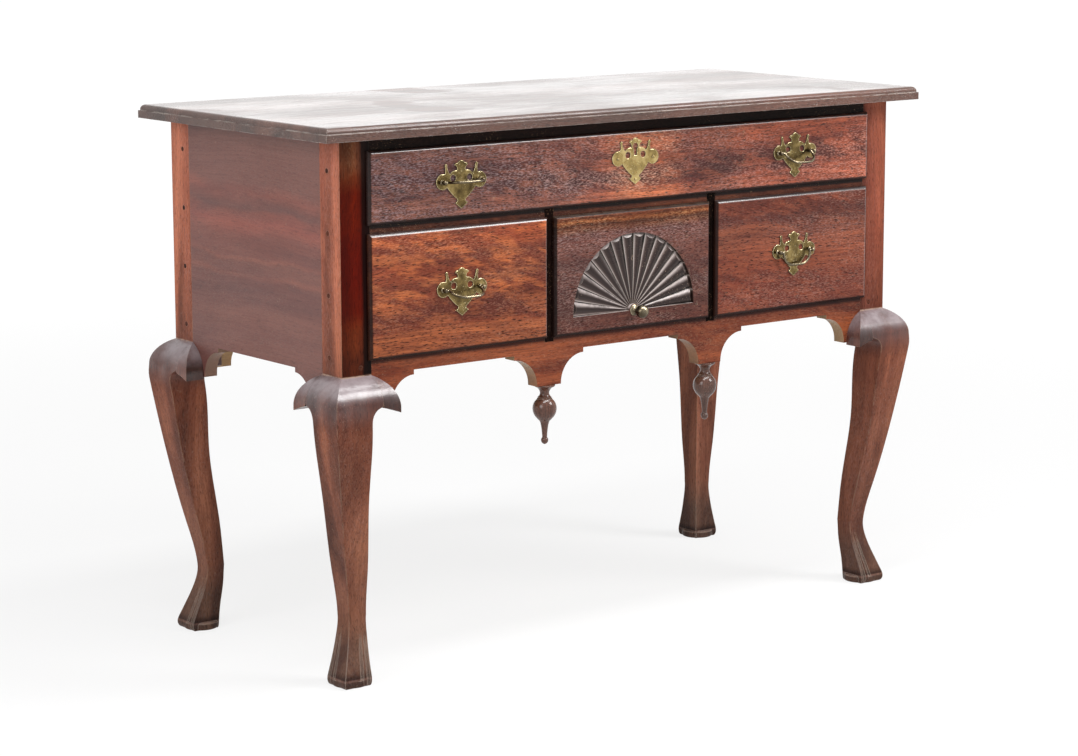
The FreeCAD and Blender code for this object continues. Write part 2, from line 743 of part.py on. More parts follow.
def drawer_front(opening):
    """Lipped front with rounded edges, sockets for the tails and the bottom's groove."""
    x0, x1, z0, z1 = opening
    lip = block(x0 - LIP, x1 + LIP, FACE_Y, FRONT_Y, z0 - LIP, z1 + LIP)
    rim = [e for e in lip.Edges if e.BoundBox.YMax < FACE_Y + LIP_PROUD / 2]
    lip = lip.makeFillet(LIP_ROUND, rim)
    bx0, bx1, bz0, bz1 = drawer_span(opening)
    body = block(bx0, bx1, FRONT_Y, FRONT_BACK_Y, bz0, bz1)
    front = joined([lip, body])
    return front.cut(corner_tails(opening)[0] + [bottom_slot(opening, GROOVE_FIT)])


# ---------------------------------------------------------------- fan carving
def fan_ray(angle):
    """One convex ray: a sunk cone whose top line rises toward its outer end."""
    half_width = FAN_R * math.tan(math.pi / FAN_RAYS / 2)
    end_r = (half_width ** 2 + FAN_SAG ** 2) / (2 * FAN_SAG)
    sink = end_r - FAN_SAG
    share = FAN_HUB_R / 2 / FAN_R
    reach = FAN_R * 1.02
    start = V(share * FAN_R, share * sink, 0)
    run = V(reach, sink * reach / FAN_R, 0) - start
    ray = Part.makeCone(end_r * share, end_r * reach / FAN_R, run.Length, start, run)
    ray.rotate(V(0, 0, 0), Y_AXIS, -angle)
    ray.translate(V(0, FACE_Y + FAN_DEPTH, FAN_Z))
    return ray


def fan_rays():
    """All the rays, trimmed to a half round with sloping ends, and the hub."""
    step = 180.0 / FAN_RAYS
    rays = joined([fan_ray((i + 0.5) * step) for i in range(FAN_RAYS)])
    floor = V(0, FACE_Y + FAN_DEPTH, FAN_Z)
    out = V(0, -1, 0)
    trim = Part.makeCone(FAN_R - 0.3, FAN_R - FAN_BEVEL, FAN_DEPTH, floor, out, 360)
    above = block(-FAN_R, FAN_R, FACE_Y, FACE_Y + FAN_DEPTH, FAN_Z, FAN_Z + FAN_R)
    hub = rod(V(0, FACE_Y + FAN_DEPTH, FAN_Z), out, FAN_HUB_R, FAN_DEPTH)
    return joined([rays.common(trim.common(above)), hub.common(above)])


def fan_pocket():
    """Half-round recess that holds the fan."""
    disc = rod(V(0, FACE_Y, FAN_Z), Y_AXIS, FAN_R, FAN_DEPTH)
    return disc.common(block(-FAN_R, FAN_R, FACE_Y, FACE_Y + FAN_DEPTH, FAN_Z, FAN_Z + FAN_R))


def carved_front():
    """Front of the centre drawer with its carved fan and the hole for the knob."""
    front = drawer_front(OPENINGS["centre"]).cut(fan_pocket())
    front = front.fuse(fan_rays())
    return front.cut(shank_hole(0, FAN_Z))


# ---------------------------------------------------------------- brasses
def shank_hole(x, z):
    """Hole right through a drawer front for a threaded shank."""
    return rod(V(x, FACE_Y, z), Y_AXIS, SHANK_R + HOLE_FIT, LIP_PROUD + FRONT_BODY)


def plate_outline(x, z):
    """Closed edges of the batwing plate around its middle (x, z)."""
    def at(across, up):
        """Point by its share of the posts' half spread and of the plate's half height."""
        return V(x + across * POST_SPREAD / 2, FACE_Y, z + up * PLATE_UP)

    right = [
        arc(at(0, -1), at(0.19, -0.87), at(0.33, -0.75)),
        arc(at(0.33, -0.75), at(0.24, -0.71), at(0.2, -0.62)),
        arc(at(0.2, -0.62), at(0.44, -0.43), at(0.75, -0.09)),
        arc(at(0.75, -0.09), at(1.31, 0.15), at(0.86, 0.45)),
        arc(at(0.86, 0.45), at(0.83, 0.61), at(0.86, 0.81)),
        arc(at(0.86, 0.81), at(0.78, 0.87), at(0.74, 0.79)),
        arc(at(0.74, 0.79), at(0.69, 0.59), at(0.59, 0.44)),
        arc(at(0.59, 0.44), at(0.44, 0.56), at(0.23, 0.59)),
        arc(at(0.23, 0.59), at(0.23, 0.7), at(0.36, 0.81)),
        arc(at(0.36, 0.81), at(0.29, 0.885), at(0.19, 0.885)),
        arc(at(0.19, 0.885), at(0.11, 0.965), at(0, 1)),
    ]
    return right + [edge.mirror(at(0, 0), X_AXIS) for edge in right]


def pierced_plate(x, z):
    """Batwing plate with its two round piercings."""
    plate = prism(plate_outline(x, z), V(0, -PLATE_T, 0))
    holes = [rod(V(x + side * PIERCE_X, FACE_Y, z + PIERCE_UP), V(0, -1, 0), PIERCE_R, PLATE_T)
             for side in (-1, 1)]
    return plate.cut(holes)


def pull_posts_x(x):
    """Places of a pull's two posts across the drawer."""
    return [x - POST_SPREAD / 2, x + POST_SPREAD / 2]


def pull_plate(name):
    """Plate of a pull, drilled for its posts."""
    x, z = PULLS[name]
    holes = [rod(V(px, FACE_Y, z), V(0, -1, 0), SHANK_R + HOLE_FIT, PLATE_T)
             for px in pull_posts_x(x)]
    return pierced_plate(x, z - PLATE_POST_UP).cut(holes)


def pull_post(x, z, toward):
    """Ball-headed post with its shank, bored for the bail's pin."""
    def at(r, out):
        return V(x + r, FACE_Y - out, z)

    inner = LIP_PROUD + FRONT_BODY + NUT_T + SHANK_PAST
    neck_top = STANDOFF - math.sqrt(BALL_R ** 2 - NECK_R ** 2)
    half = [
        *polygon_edges([at(0, STANDOFF + BALL_R), at(0, -inner), at(SHANK_R, -inner),
                        at(SHANK_R, PLATE_T), at(NECK_R + COLLAR, PLATE_T),
                        at(NECK_R + COLLAR, PLATE_T + COLLAR_H),
                        at(NECK_R, PLATE_T + 2 * COLLAR_H), at(NECK_R, neck_top)]),
        arc(at(NECK_R, neck_top), at(BALL_R, STANDOFF), at(0, STANDOFF + BALL_R)),
    ]
    post = lathe(half, V(x, 0, z), Y_AXIS)
    start = V(x - toward * (BALL_R + 1), FACE_Y - STANDOFF, z)
    bore = rod(start, V(toward, 0, 0), PIN_R + HOLE_FIT, BALL_R + 1 + PIN_IN + HOLE_FIT)
    return post.cut(bore)


def square_nut(x, z):
    """Square nut on a shank, against the inner face of the drawer front."""
    half = NUT_ACROSS / 2
    nut = block(x - half, x + half, FRONT_BACK_Y, FRONT_BACK_Y + NUT_T, z - half, z + half)
    return nut.cut(rod(V(x, FRONT_BACK_Y, z), Y_AXIS, SHANK_R + HOLE_FIT, NUT_T))


def pull_posts(name):
    """Two posts and their nuts."""
    x, z = PULLS[name]
    left, right = pull_posts_x(x)
    return [pull_post(left, z, -1), pull_post(right, z, 1), square_nut(left, z),
            square_nut(right, z)]


def bail_half(x, y, z):
    """Right half of a hanging bail, with its pin pointing outward."""
    pin_end = POST_SPREAD / 2 + PIN_IN
    corner = V(x + BAIL_HALF, y, z)
    bend_centre = V(x + BAIL_HALF - BAIL_BEND, y, z - BAIL_DROP + BAIL_BEND)
    bend = Part.makeTorus(BAIL_BEND, BAIL_R, V(0, 0, 0), Z_AXIS, 0, 360, 90)
    bend.rotate(V(0, 0, 0), X_AXIS, -90)
    bend.translate(bend_centre)
    low = V(x, y, z - BAIL_DROP)
    return [
        rod(corner, X_AXIS, PIN_R, pin_end - BAIL_HALF),
        Part.makeSphere(BAIL_R, corner),
        rod(corner, V(0, 0, -1), BAIL_R, BAIL_DROP - BAIL_BEND),
        bend,
        rod(low, X_AXIS, BAIL_R, BAIL_HALF - BAIL_BEND),
    ]


def bail(name):
    """Bail of a pull, lifted to the angle at which it stands."""
    x, z = PULLS[name]
    y = FACE_Y - STANDOFF
    right = bail_half(x, y, z)
    left = [piece.mirror(V(x, 0, 0), X_AXIS) for piece in right]
    whole = joined(right + left)
    whole.rotate(V(x, y, z), X_AXIS, -BAIL_ANGLES[name])
    return whole


def escutcheon_middle():
    return LONG_MID + ESCUTCHEON_UP


def nail_places():
    """Three nails of the escutcheon: one in each wing and one at the foot."""
    z = escutcheon_middle()
    wing = POST_SPREAD / 2
    return [(-wing, z + PLATE_POST_UP), (wing, z + PLATE_POST_UP), (0, z - FOOT_NAIL_DROP)]


def escutcheon():
    """Plate at the middle of the long drawer, with a keyhole-shaped opening."""
    z = escutcheon_middle()
    out = V(0, -1, 0)
    head = rod(V(0, FACE_Y, z + KEY_UP), out, PIERCE_R, PLATE_T)
    half = KEY_SLOT_W / 2
    slot = block(-half, half, FACE_Y - PLATE_T, FACE_Y, z + KEY_SLOT_UP, z + KEY_UP)
    holes = [rod(V(x, FACE_Y, nz), out, NAIL_R + HOLE_FIT, PLATE_T) for x, nz in nail_places()]
    return pierced_plate(0, z).cut([head, slot, *holes])


def nail(x, z):
    """Nail with a low domed head."""
    dome_r = (NAIL_HEAD_R ** 2 + NAIL_HEAD_H ** 2) / (2 * NAIL_HEAD_H)
    seat = FACE_Y - PLATE_T
    ball = Part.makeSphere(dome_r, V(x, seat - NAIL_HEAD_H + dome_r, z))
    side = 2 * dome_r
    dome = ball.common(block(x - side, x + side, seat - side, seat, z - side, z + side))
    return joined([dome, rod(V(x, seat, z), Y_AXIS, NAIL_R, NAIL_L)])


def knob():
    """Turned brass knob at the foot of the fan, with its shank."""
    def at(r, out):
        return V(r, FACE_Y - out, FAN_Z)

    inner = LIP_PROUD + FRONT_BODY + NUT_T + SHANK_PAST
    neck_top = KNOB_OUT - math.sqrt(KNOB_R ** 2 - KNOB_NECK_R ** 2)
    half = [
        *polygon_edges([at(0, KNOB_OUT + KNOB_R), at(0, -inner), at(SHANK_R, -inner),
                        at(SHANK_R, 0), at(KNOB_BASE_R, 0), at(KNOB_BASE_R, KNOB_BASE_T / 2)]),
        arc(at(KNOB_BASE_R, KNOB_BASE_T / 2),
            at(KNOB_NECK_R + KNOB_FOOT, KNOB_BASE_T + 0.3 * KNOB_FOOT),
            at(KNOB_NECK_R, neck_top)),
        arc(at(KNOB_NECK_R, neck_top), at(KNOB_R, KNOB_OUT), at(0, KNOB_OUT + KNOB_R)),
    ]
    return lathe(half, V(0, 0, FAN_Z), Y_AXIS)


# ---------------------------------------------------------------- pendants
def pendant(x):
    """Turned drop under a tab, with its pin up inside the apron."""
    y = FRONT_Y + FRONT_T / 2
    top = KNEE_TOP - TAB_DROP

    def at(r, drop):
        return V(x + r, y, top - drop)

    ball_low = PENDANT_BALL_DROP + math.sqrt(PENDANT_BALL_R ** 2 - PENDANT_NECK_R ** 2)
    ball_high = 2 * PENDANT_BALL_DROP - ball_low
    button_mid = PENDANT_STEM_DROP + math.sqrt(PENDANT_BUTTON_R ** 2 - PENDANT_STEM_R ** 2)
    stem_r = (PENDANT_NECK_R + PENDANT_STEM_R) / 2
    stem_mid = (ball_low + PENDANT_STEM_DROP) / 2
    half = [
        *polygon_edges([at(0, button_mid + PENDANT_BUTTON_R), at(0, -PENDANT_PIN_L),
                        at(PENDANT_PIN_R, -PENDANT_PIN_L), at(PENDANT_PIN_R, 0),
                        at(PENDANT_FLANGE_R, 0), at(PENDANT_FLANGE_R, PENDANT_FLANGE_T)]),
        arc(at(PENDANT_FLANGE_R, PENDANT_FLANGE_T),
            at(PENDANT_NECK_R + PENDANT_COVE, 0.6 * PENDANT_NECK_DROP),
            at(PENDANT_NECK_R, PENDANT_NECK_DROP)),
        Part.makeLine(at(PENDANT_NECK_R, PENDANT_NECK_DROP), at(PENDANT_NECK_R, ball_high)),
        arc(at(PENDANT_NECK_R, ball_high), at(PENDANT_BALL_R, PENDANT_BALL_DROP),
            at(PENDANT_NECK_R, ball_low)),
        arc(at(PENDANT_NECK_R, ball_low), at(stem_r - PENDANT_TAPER, stem_mid),
            at(PENDANT_STEM_R, PENDANT_STEM_DROP)),
        arc(at(PENDANT_STEM_R, PENDANT_STEM_DROP), at(PENDANT_BUTTON_R, button_mid),
            at(0, button_mid + PENDANT_BUTTON_R)),
    ]
    return lathe(half, V(x, y, 0), Z_AXIS)


# ---------------------------------------------------------------- the nodes
def save_legs():
    """Four legs and the knee blocks beside them."""
    front = front_leg()
    back = back_leg()
    save("leg_front_left", front)
    save("leg_front_right", mirror_x(front))
    save("leg_back_left", back)
    save("leg_back_right", mirror_x(back))
    on_apron = knee_block()
    on_side = swap_corner(on_apron)
    save("knee_blocks_front_left", [on_apron, on_side])
    save("knee_blocks_front_right", [mirror_x(on_apron), mirror_x(on_side)])
    save("knee_block_back_left", mirror_y(on_side))
    save("knee_block_back_right", mirror_x(mirror_y(on_side)))


def save_case():
    """Boards of the case, the pegs, and the pendants."""
    save("top_board", top_board())
    side = side_board()
    save("side_board_left", side)
    save("side_board_right", mirror_x(side))
    save("back_board", back_board())
    save("front_apron", front_apron())
    save("top_rail", rail(LONG_Z1, front_tenons()[2]))
    save("middle_rail", middle_rail())
    save("stile_left", stile(-STILE_X))
    save("stile_right", stile(STILE_X))
    pegs = side_pegs(PEG_R)
    pegs += [mirror_y(peg) for peg in pegs]
    pegs.append(apron_peg(PEG_R))
    save("joint_pegs", pegs + [mirror_x(peg) for peg in pegs])
    save("pendant_left", pendant(-STILE_X))
    save("pendant_right", pendant(STILE_X))


def save_supports():
    """Runners, guides, kickers and glue blocks inside the case."""
    behind_apron = FRONT_Y + FRONT_T
    behind_rail = FRONT_Y + RAIL_DEPTH
    low = side_runner(behind_apron, LOW_Z0)
    high = side_runner(behind_rail, LONG_Z0)
    kicker = side_runner(behind_rail, CASE_TOP)
    save("lower_runner_left", low)
    save("lower_runner_right", mirror_x(low))
    save("upper_runner_left", high)
    save("upper_runner_right", mirror_x(high))
    save("top_kickers", [kicker, mirror_x(kicker)])
    for side, x in (("left", -STILE_X), ("right", STILE_X)):
        save("centre_runner_" + side, centre_runner(x, behind_apron, LOW_Z0))
    bearers = [centre_runner(x, behind_rail, LONG_Z0) for x in (-STILE_X, STILE_X)]
    save("centre_bearers", bearers)
    guides = [side_guide(LOW_Z0), side_guide(LONG_Z0)]
    guides += [mirror_x(guide) for guide in guides]
    guides += [centre_guide(-STILE_X), centre_guide(STILE_X)]
    save("drawer_guides", guides)
    save("glue_blocks", [glue_block(x) for x in (-GLUE_BLOCK_X, 0, GLUE_BLOCK_X)])


def pulls_of(drawer):
    """Names of the pulls on a drawer."""
    return {"top": ["top_left", "top_right"], "left": ["left"], "right": ["right"]}.get(drawer, [])


def drilled_front(drawer):
    """Front of a plain drawer, drilled for its brasses."""
    front = drawer_front(OPENINGS[drawer])
    holes = []
    for pull in pulls_of(drawer):
        x, z = PULLS[pull]
        holes += [shank_hole(px, z) for px in pull_posts_x(x)]
    if drawer == "top":
        depth = NAIL_L - PLATE_T + HOLE_FIT
        holes += [rod(V(x, FACE_Y, z), Y_AXIS, NAIL_R + HOLE_FIT, depth)
                  for x, z in nail_places()]
    return front.cut(holes)


def save_drawers():
    """Each drawer's front, sides, back and bottom."""
    for drawer, opening in OPENINGS.items():
        name = drawer + "_drawer_"
        front = carved_front() if drawer == "centre" else drilled_front(drawer)
        save(name + "front", front)
        save(name + "sides", drawer_sides(opening))
        save(name + "back", drawer_back(opening))
        save(name + "bottom", bottom_slot(opening, 0.0))


def save_brasses():
    """Plates, posts with nuts, bails, the escutcheon with its nails, and the knob."""
    for drawer in ("top", "left", "right"):
        pulls = pulls_of(drawer)
        save(drawer + "_pull_plates", [pull_plate(pull) for pull in pulls])
        posts = []
        for pull in pulls:
            posts += pull_posts(pull)
            save("bail_" + pull, bail(pull))
        save(drawer + "_pull_posts", posts)
    save("escutcheon", escutcheon())
    save("escutcheon_nails", [nail(x, z) for x, z in nail_places()])
    save("fan_knob", [knob(), square_nut(0, FAN_Z)])


def main():
    os.makedirs("parts", exist_ok=True)
    save_legs()
    save_case()
    save_supports()
    save_drawers()
    save_brasses()


main()
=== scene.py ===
"""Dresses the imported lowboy: its finishes, its finely turned drops, and a plain studio."""
import logging
import math
from dataclasses import dataclass, replace
from enum import Enum
from functools import cached_property

import bmesh
import bpy
from mathutils import Matrix, Vector


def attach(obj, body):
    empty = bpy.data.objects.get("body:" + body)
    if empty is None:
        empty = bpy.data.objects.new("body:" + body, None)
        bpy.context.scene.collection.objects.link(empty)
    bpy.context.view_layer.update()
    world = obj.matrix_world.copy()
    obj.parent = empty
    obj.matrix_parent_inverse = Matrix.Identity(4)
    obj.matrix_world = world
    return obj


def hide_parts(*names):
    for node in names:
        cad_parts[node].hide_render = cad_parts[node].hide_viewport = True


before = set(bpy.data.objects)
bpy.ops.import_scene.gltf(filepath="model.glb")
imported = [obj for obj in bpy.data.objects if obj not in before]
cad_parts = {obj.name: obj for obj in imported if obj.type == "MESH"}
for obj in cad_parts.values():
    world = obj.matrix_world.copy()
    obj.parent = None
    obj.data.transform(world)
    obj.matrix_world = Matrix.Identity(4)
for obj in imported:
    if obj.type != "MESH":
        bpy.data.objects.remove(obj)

LOG = logging.getLogger("lowboy")
MM = 0.001
WELD = 1e-6
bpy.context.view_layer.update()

Pair = tuple[float, float]
Triple = tuple[float, float, float]
Colour = Triple
Stops = tuple[tuple[float, Colour], ...]
Socket = bpy.types.NodeSocket
Sockets = bpy.types.bpy_prop_collection

WHITE: Colour = (1.0, 1.0, 1.0)


class Grain(Enum):
    """Which way the fibres of a board run, with the turn that lays them along X."""

    ALONG_X = (0.0, 0.0, 0.0)
    ALONG_Y = (0.0, 0.0, -math.pi / 2)
    ALONG_Z = (0.0, math.pi / 2, 0.0)


class Side(Enum):
    """Left or right of the lowboy, as one faces it."""

    LEFT = "left"
    RIGHT = "right"

    @property
    def sign(self) -> int:
        """The sign of X on this side."""
        return -1 if self is Side.LEFT else 1


# ------------------------------ shader tools
class NodeDesk:
    """Adds shader nodes to one tree and joins them."""

    def __init__(self, tree: bpy.types.NodeTree) -> None:
        """Start with the tree of a material or a node group."""
        self.tree = tree

    def add(self, kind: str, values: dict | None = None, **props: object) -> bpy.types.Node:
        """Add a node.

        Args:
            kind: the node's type, without its leading words.
            values: what goes into its sockets, by name or index.
            props: settings of the node itself.

        Returns:
            The new node.
        """
        node = self.tree.nodes.new("ShaderNode" + kind)
        for name, value in props.items():
            setattr(node, name, value)
        self.fill(node, values or {})
        return node

    def fill(self, node: bpy.types.Node, values: dict) -> None:
        """Put values into a node's sockets, by name or index."""
        for key, value in values.items():
            self.put(node.inputs[key], value)

    def put(self, socket: Socket, value: object) -> None:
        """Link a socket to another one, or give it a plain value.

        Args:
            socket: the socket to fill.
            value: another socket, a number, or three numbers.
        """
        if isinstance(value, Socket):
            self.tree.links.new(value, socket)
        elif socket.type == "RGBA" and len(value) == 3:
            socket.default_value = (*value, 1.0)
        else:
            socket.default_value = value

    def effect(self, tree: bpy.types.NodeTree, **inputs: object) -> Sockets:
        """Put a shared effect to use and return its outputs."""
        return self.add("Group", inputs, node_tree=tree).outputs

    def math(self, operation: str, first: object, *others: object, clamp: bool = False) -> Socket:
        """Join numbers one after another.

        Args:
            operation: what each Math node does.
            first: the first number, or the only one.
            others: the numbers joined to it.
            clamp: whether each result is kept between 0 and 1.

        Returns:
            The last result.
        """
        for other in others or (0.0,):
            node = self.add("Math", {0: first, 1: other}, operation=operation, use_clamp=clamp)
            first = node.outputs[0]
        return first

    def times(self, *values: object) -> Socket:
        """Multiply two or more values with one another."""
        return self.math("MULTIPLY", *values)

    def weighed(self, masks: Sockets | dict[str, Socket], weights: dict[str, float]) -> Socket:
        """Add masks up, each with its own weight."""
        parts = (self.times(masks[name], weight) for name, weight in weights.items())
        return self.math("ADD", *parts)

    def vector(self, operation: str, a: object, b: object = (0.0, 0.0, 0.0)) -> Socket:
        """Join two vectors by a Vector Math node and return its result."""
        node = self.add("VectorMath", {0: a, 1: b}, operation=operation)
        return node.outputs["Value" if operation in ("LENGTH", "DOT_PRODUCT") else "Vector"]

    def axes(self, vector: Socket) -> Sockets:
        """The three parts of a vector."""
        return self.add("SeparateXYZ", {0: vector}).outputs

    def facing(self) -> Sockets:
        """The three parts of the way a surface faces."""
        return self.axes(self.add("NewGeometry").outputs["Normal"])

    def step(self, value: object, low: float, high: float, to_low: float = 0.0,
             to_high: float = 1.0) -> Socket:
        """Map a range of a value smoothly to another, kept inside it.

        Args:
            value: the value.
            low: where its range starts.
            high: where its range ends, above or below the start.
            to_low: result at the start.
            to_high: result at the end.

        Returns:
            The mapped value.
        """
        node = self.add("MapRange", {"Value": value, "From Min": low, "From Max": high,
                                     "To Min": to_low, "To Max": to_high},
                        interpolation_type="SMOOTHSTEP")
        return node.outputs["Result"]

    def mix(self, factor: object, a: object, b: object, blend: str = "MIX") -> Socket:
        """Mix two colours.

        Args:
            factor: how much of the second one is laid on.
            a: the first colour.
            b: the second colour.
            blend: how they join.

        Returns:
            The mixed colour.
        """
        node = self.add("Mix", data_type="RGBA", blend_type=blend)
        for index, value in ((0, factor), (6, a), (7, b)):
            self.put(node.inputs[index], value)
        return node.outputs[2]

    def ramp(self, factor: object, stops: Stops) -> Socket:
        """Colour ramp.

        Args:
            factor: the place on the ramp.
            stops: places and their colours, in order.

        Returns:
            The colour at the place.
        """
        node = self.add("ValToRGB", {"Fac": factor})
        elements = node.color_ramp.elements
        for place, colour in stops[1:-1]:
            elements.new(place).color = (*colour, 1.0)
        ends = (elements[0], stops[0]), (elements[len(elements) - 1], stops[-1])
        for element, (place, colour) in ends:
            element.position = place
            element.color = (*colour, 1.0)
        return node.outputs["Color"]

    def noise(self, vector: Socket, scale: float, detail: float, roughness: float = 0.5,
              output: str = "Fac") -> Socket:
        """Noise read at a vector.

        Args:
            vector: where it is read.
            scale: waves to a metre.
            detail: how many finer layers it has.
            roughness: how strong they are.
            output: name of the output that is wanted.

        Returns:
            The noise.
        """
        node = self.add("TexNoise", {"Vector": vector, "Scale": scale, "Detail": detail,
                                     "Roughness": roughness})
        return node.outputs[output]

    def stretched(self, vector: Socket, scale: Triple, turn: Triple = (0.0, 0.0, 0.0),
                  shift: Triple = (0.0, 0.0, 0.0)) -> Socket:
        """A vector scaled, turned and shifted by a Mapping node."""
        return self.add("Mapping", {"Vector": vector, "Scale": scale, "Rotation": turn,
                                    "Location": shift}).outputs["Vector"]

    def slanted(self, vector: Socket, scale: Triple, turn: Triple) -> Socket:
        """A vector turned first and scaled after, so that streaks lie across the grain."""
        shrink = tuple(1.0 / part for part in scale)
        return self.add("Mapping", {"Vector": vector, "Scale": shrink, "Rotation": turn},
                        vector_type="TEXTURE").outputs["Vector"]


@dataclass(frozen=True)
class Mask:
    """Noise cut smoothly between two levels; the scale is in waves to a metre."""

    scale: float | Triple
    low: float
    high: float
    detail: float = 3.0
    roughness: float = 0.5
    least: float = 0.0
    turn: Triple | None = None
    shift: Triple = (0.0, 0.0, 0.0)

    def read(self, desk: NodeDesk, vector: Socket) -> Socket:
        """Read the mask.

        Args:
            desk: desk on the tree.
            vector: where the mask is read.

        Returns:
            The mask, from its least value to 1.
        """
        scale = self.scale
        if self.turn:
            vector, scale = desk.slanted(vector, scale, self.turn), 1.0
        elif isinstance(scale, tuple):
            vector, scale = desk.stretched(vector, scale, shift=self.shift), 1.0
        waves = desk.noise(vector, scale, self.detail, self.roughness)
        return desk.step(waves, self.low, self.high, self.least)


# Masks of the wood, stretched along its fibres.
FIGURE = Mask((1.3, 24.0, 24.0), 0.33, 0.67, detail=4.0)
FIBRE = Mask((9.0, 330.0, 330.0), 0.32, 0.68, roughness=0.6)
PORE = Mask((110.0, 950.0, 950.0), 0.57, 0.67, detail=1.0)
MOTTLE = Mask((4.5, 7.0, 7.0), 0.33, 0.67, shift=(3.1, 1.7, 0.4))
RIBBON = Mask((9.0, 75.0, 75.0), 0.42, 0.62, roughness=0.6, turn=(0.0, 0.25, 0.25))
SPECKLE = Mask((210.0, 860.0, 860.0), 0.44, 0.68, detail=2.0, roughness=0.6)
SPECKLE_PATCHES = Mask((5.0, 26.0, 26.0), 0.34, 0.6, least=0.25, shift=(0.7, 2.9, 5.3))

# How the fibres wander across their way: the scale and detail of the bend, and its reach.
BEND_SCALE, BEND_DETAIL = (1.6, 3.0, 3.0), 2.0
BEND_REACH = (0.0, 0.075, 0.075)
NOISE_MIDDLE = 0.5

# Masks of wear, wax, dirt and tarnished spots, and of painted highlights on the rays' flanks and
# the knees.
EDGE_RUB = Mask(38.0, 0.36, 0.6, detail=4.0, roughness=0.62)
SCRATCH_LINES = tuple(
    Mask((16.0, 620.0, 620.0), 0.68, 0.75, detail=1.0, turn=(turn, turn * 0.7, turn))
    for turn in (0.5, -0.9))
SCRATCH_PLACES = Mask(11.0, 0.48, 0.62, detail=2.0)
CHIPS = Mask(95.0, 0.7, 0.74, roughness=0.62)
FLANK_HIGHLIGHT_PATCHES = Mask(90.0, 0.3, 0.6, roughness=0.6, least=0.4)
LINE_RUB = Mask(60.0, 0.34, 0.56, roughness=0.6)
KNEE_HIGHLIGHT_CLOUDS = Mask(26.0, 0.3, 0.66, detail=4.0, roughness=0.62, least=0.2)
POLISH_CLOUDS = Mask(34.0, 0.36, 0.64, detail=4.0, roughness=0.6)
STAIN_SPOTS = Mask(5.5, 0.58, 0.66)
TARNISH_SPOTS = Mask(380.0, 0.58, 0.7, detail=2.0, roughness=0.6)

# How far an eased edge turns away from the plain one where rubbing starts and where it is full.
BEVEL_SAMPLES = 4
RUB_STARTS, RUB_FULL = 0.997, 0.93

# Part of the normal along an axis at which a surface starts, and fully counts, as facing it.
FACES_FRONT = (0.75, 0.95)
FACES_OFF_THE_CUT = (0.75, 0.5)
FACES_OFF_THE_LIP = (0.985, 0.86)
FACES_UP = (0.1, 0.75)
LIP_SHINES = (0.08, 0.3)
LIES_LEVEL = (0.8, 0.95)

# Widths over which polish, the painted knee highlight and the front tints and shade fade at the
# foot and at the top.
POLISH_FOOT, POLISH_TOP = 20 * MM, 2 * MM
KNEE_HIGHLIGHT_TOP = 1 * MM
FRONT_FOOT = 10 * MM
RIB_FADE = 0.7
LINE_CORE = 0.25

# How much the masks dull a wood and raise its surface.
GRAIN_DULLS = {"Mottle": 0.55, "Fibre": 0.45}
SCRATCH_DULLS = 0.9
GRAIN_RAISES = {"Fibre": 0.3, "Pore": -0.7, "Mottle": 1.1}
MARKS_RAISE = {"Scratch": -0.6, "Chip": -1.2}

SEED_SHARES = (1.0, 0.61, 0.37)
BORDER_DETAIL, BORDER_ROUGHNESS = 3.0, 0.55
# Near black for the proud lips' rounded sides and undersides: painted shade under and beside them,
# over a darker finish on the lips.
LIP_BLACK: Colour = (0.006, 0.003, 0.0025)


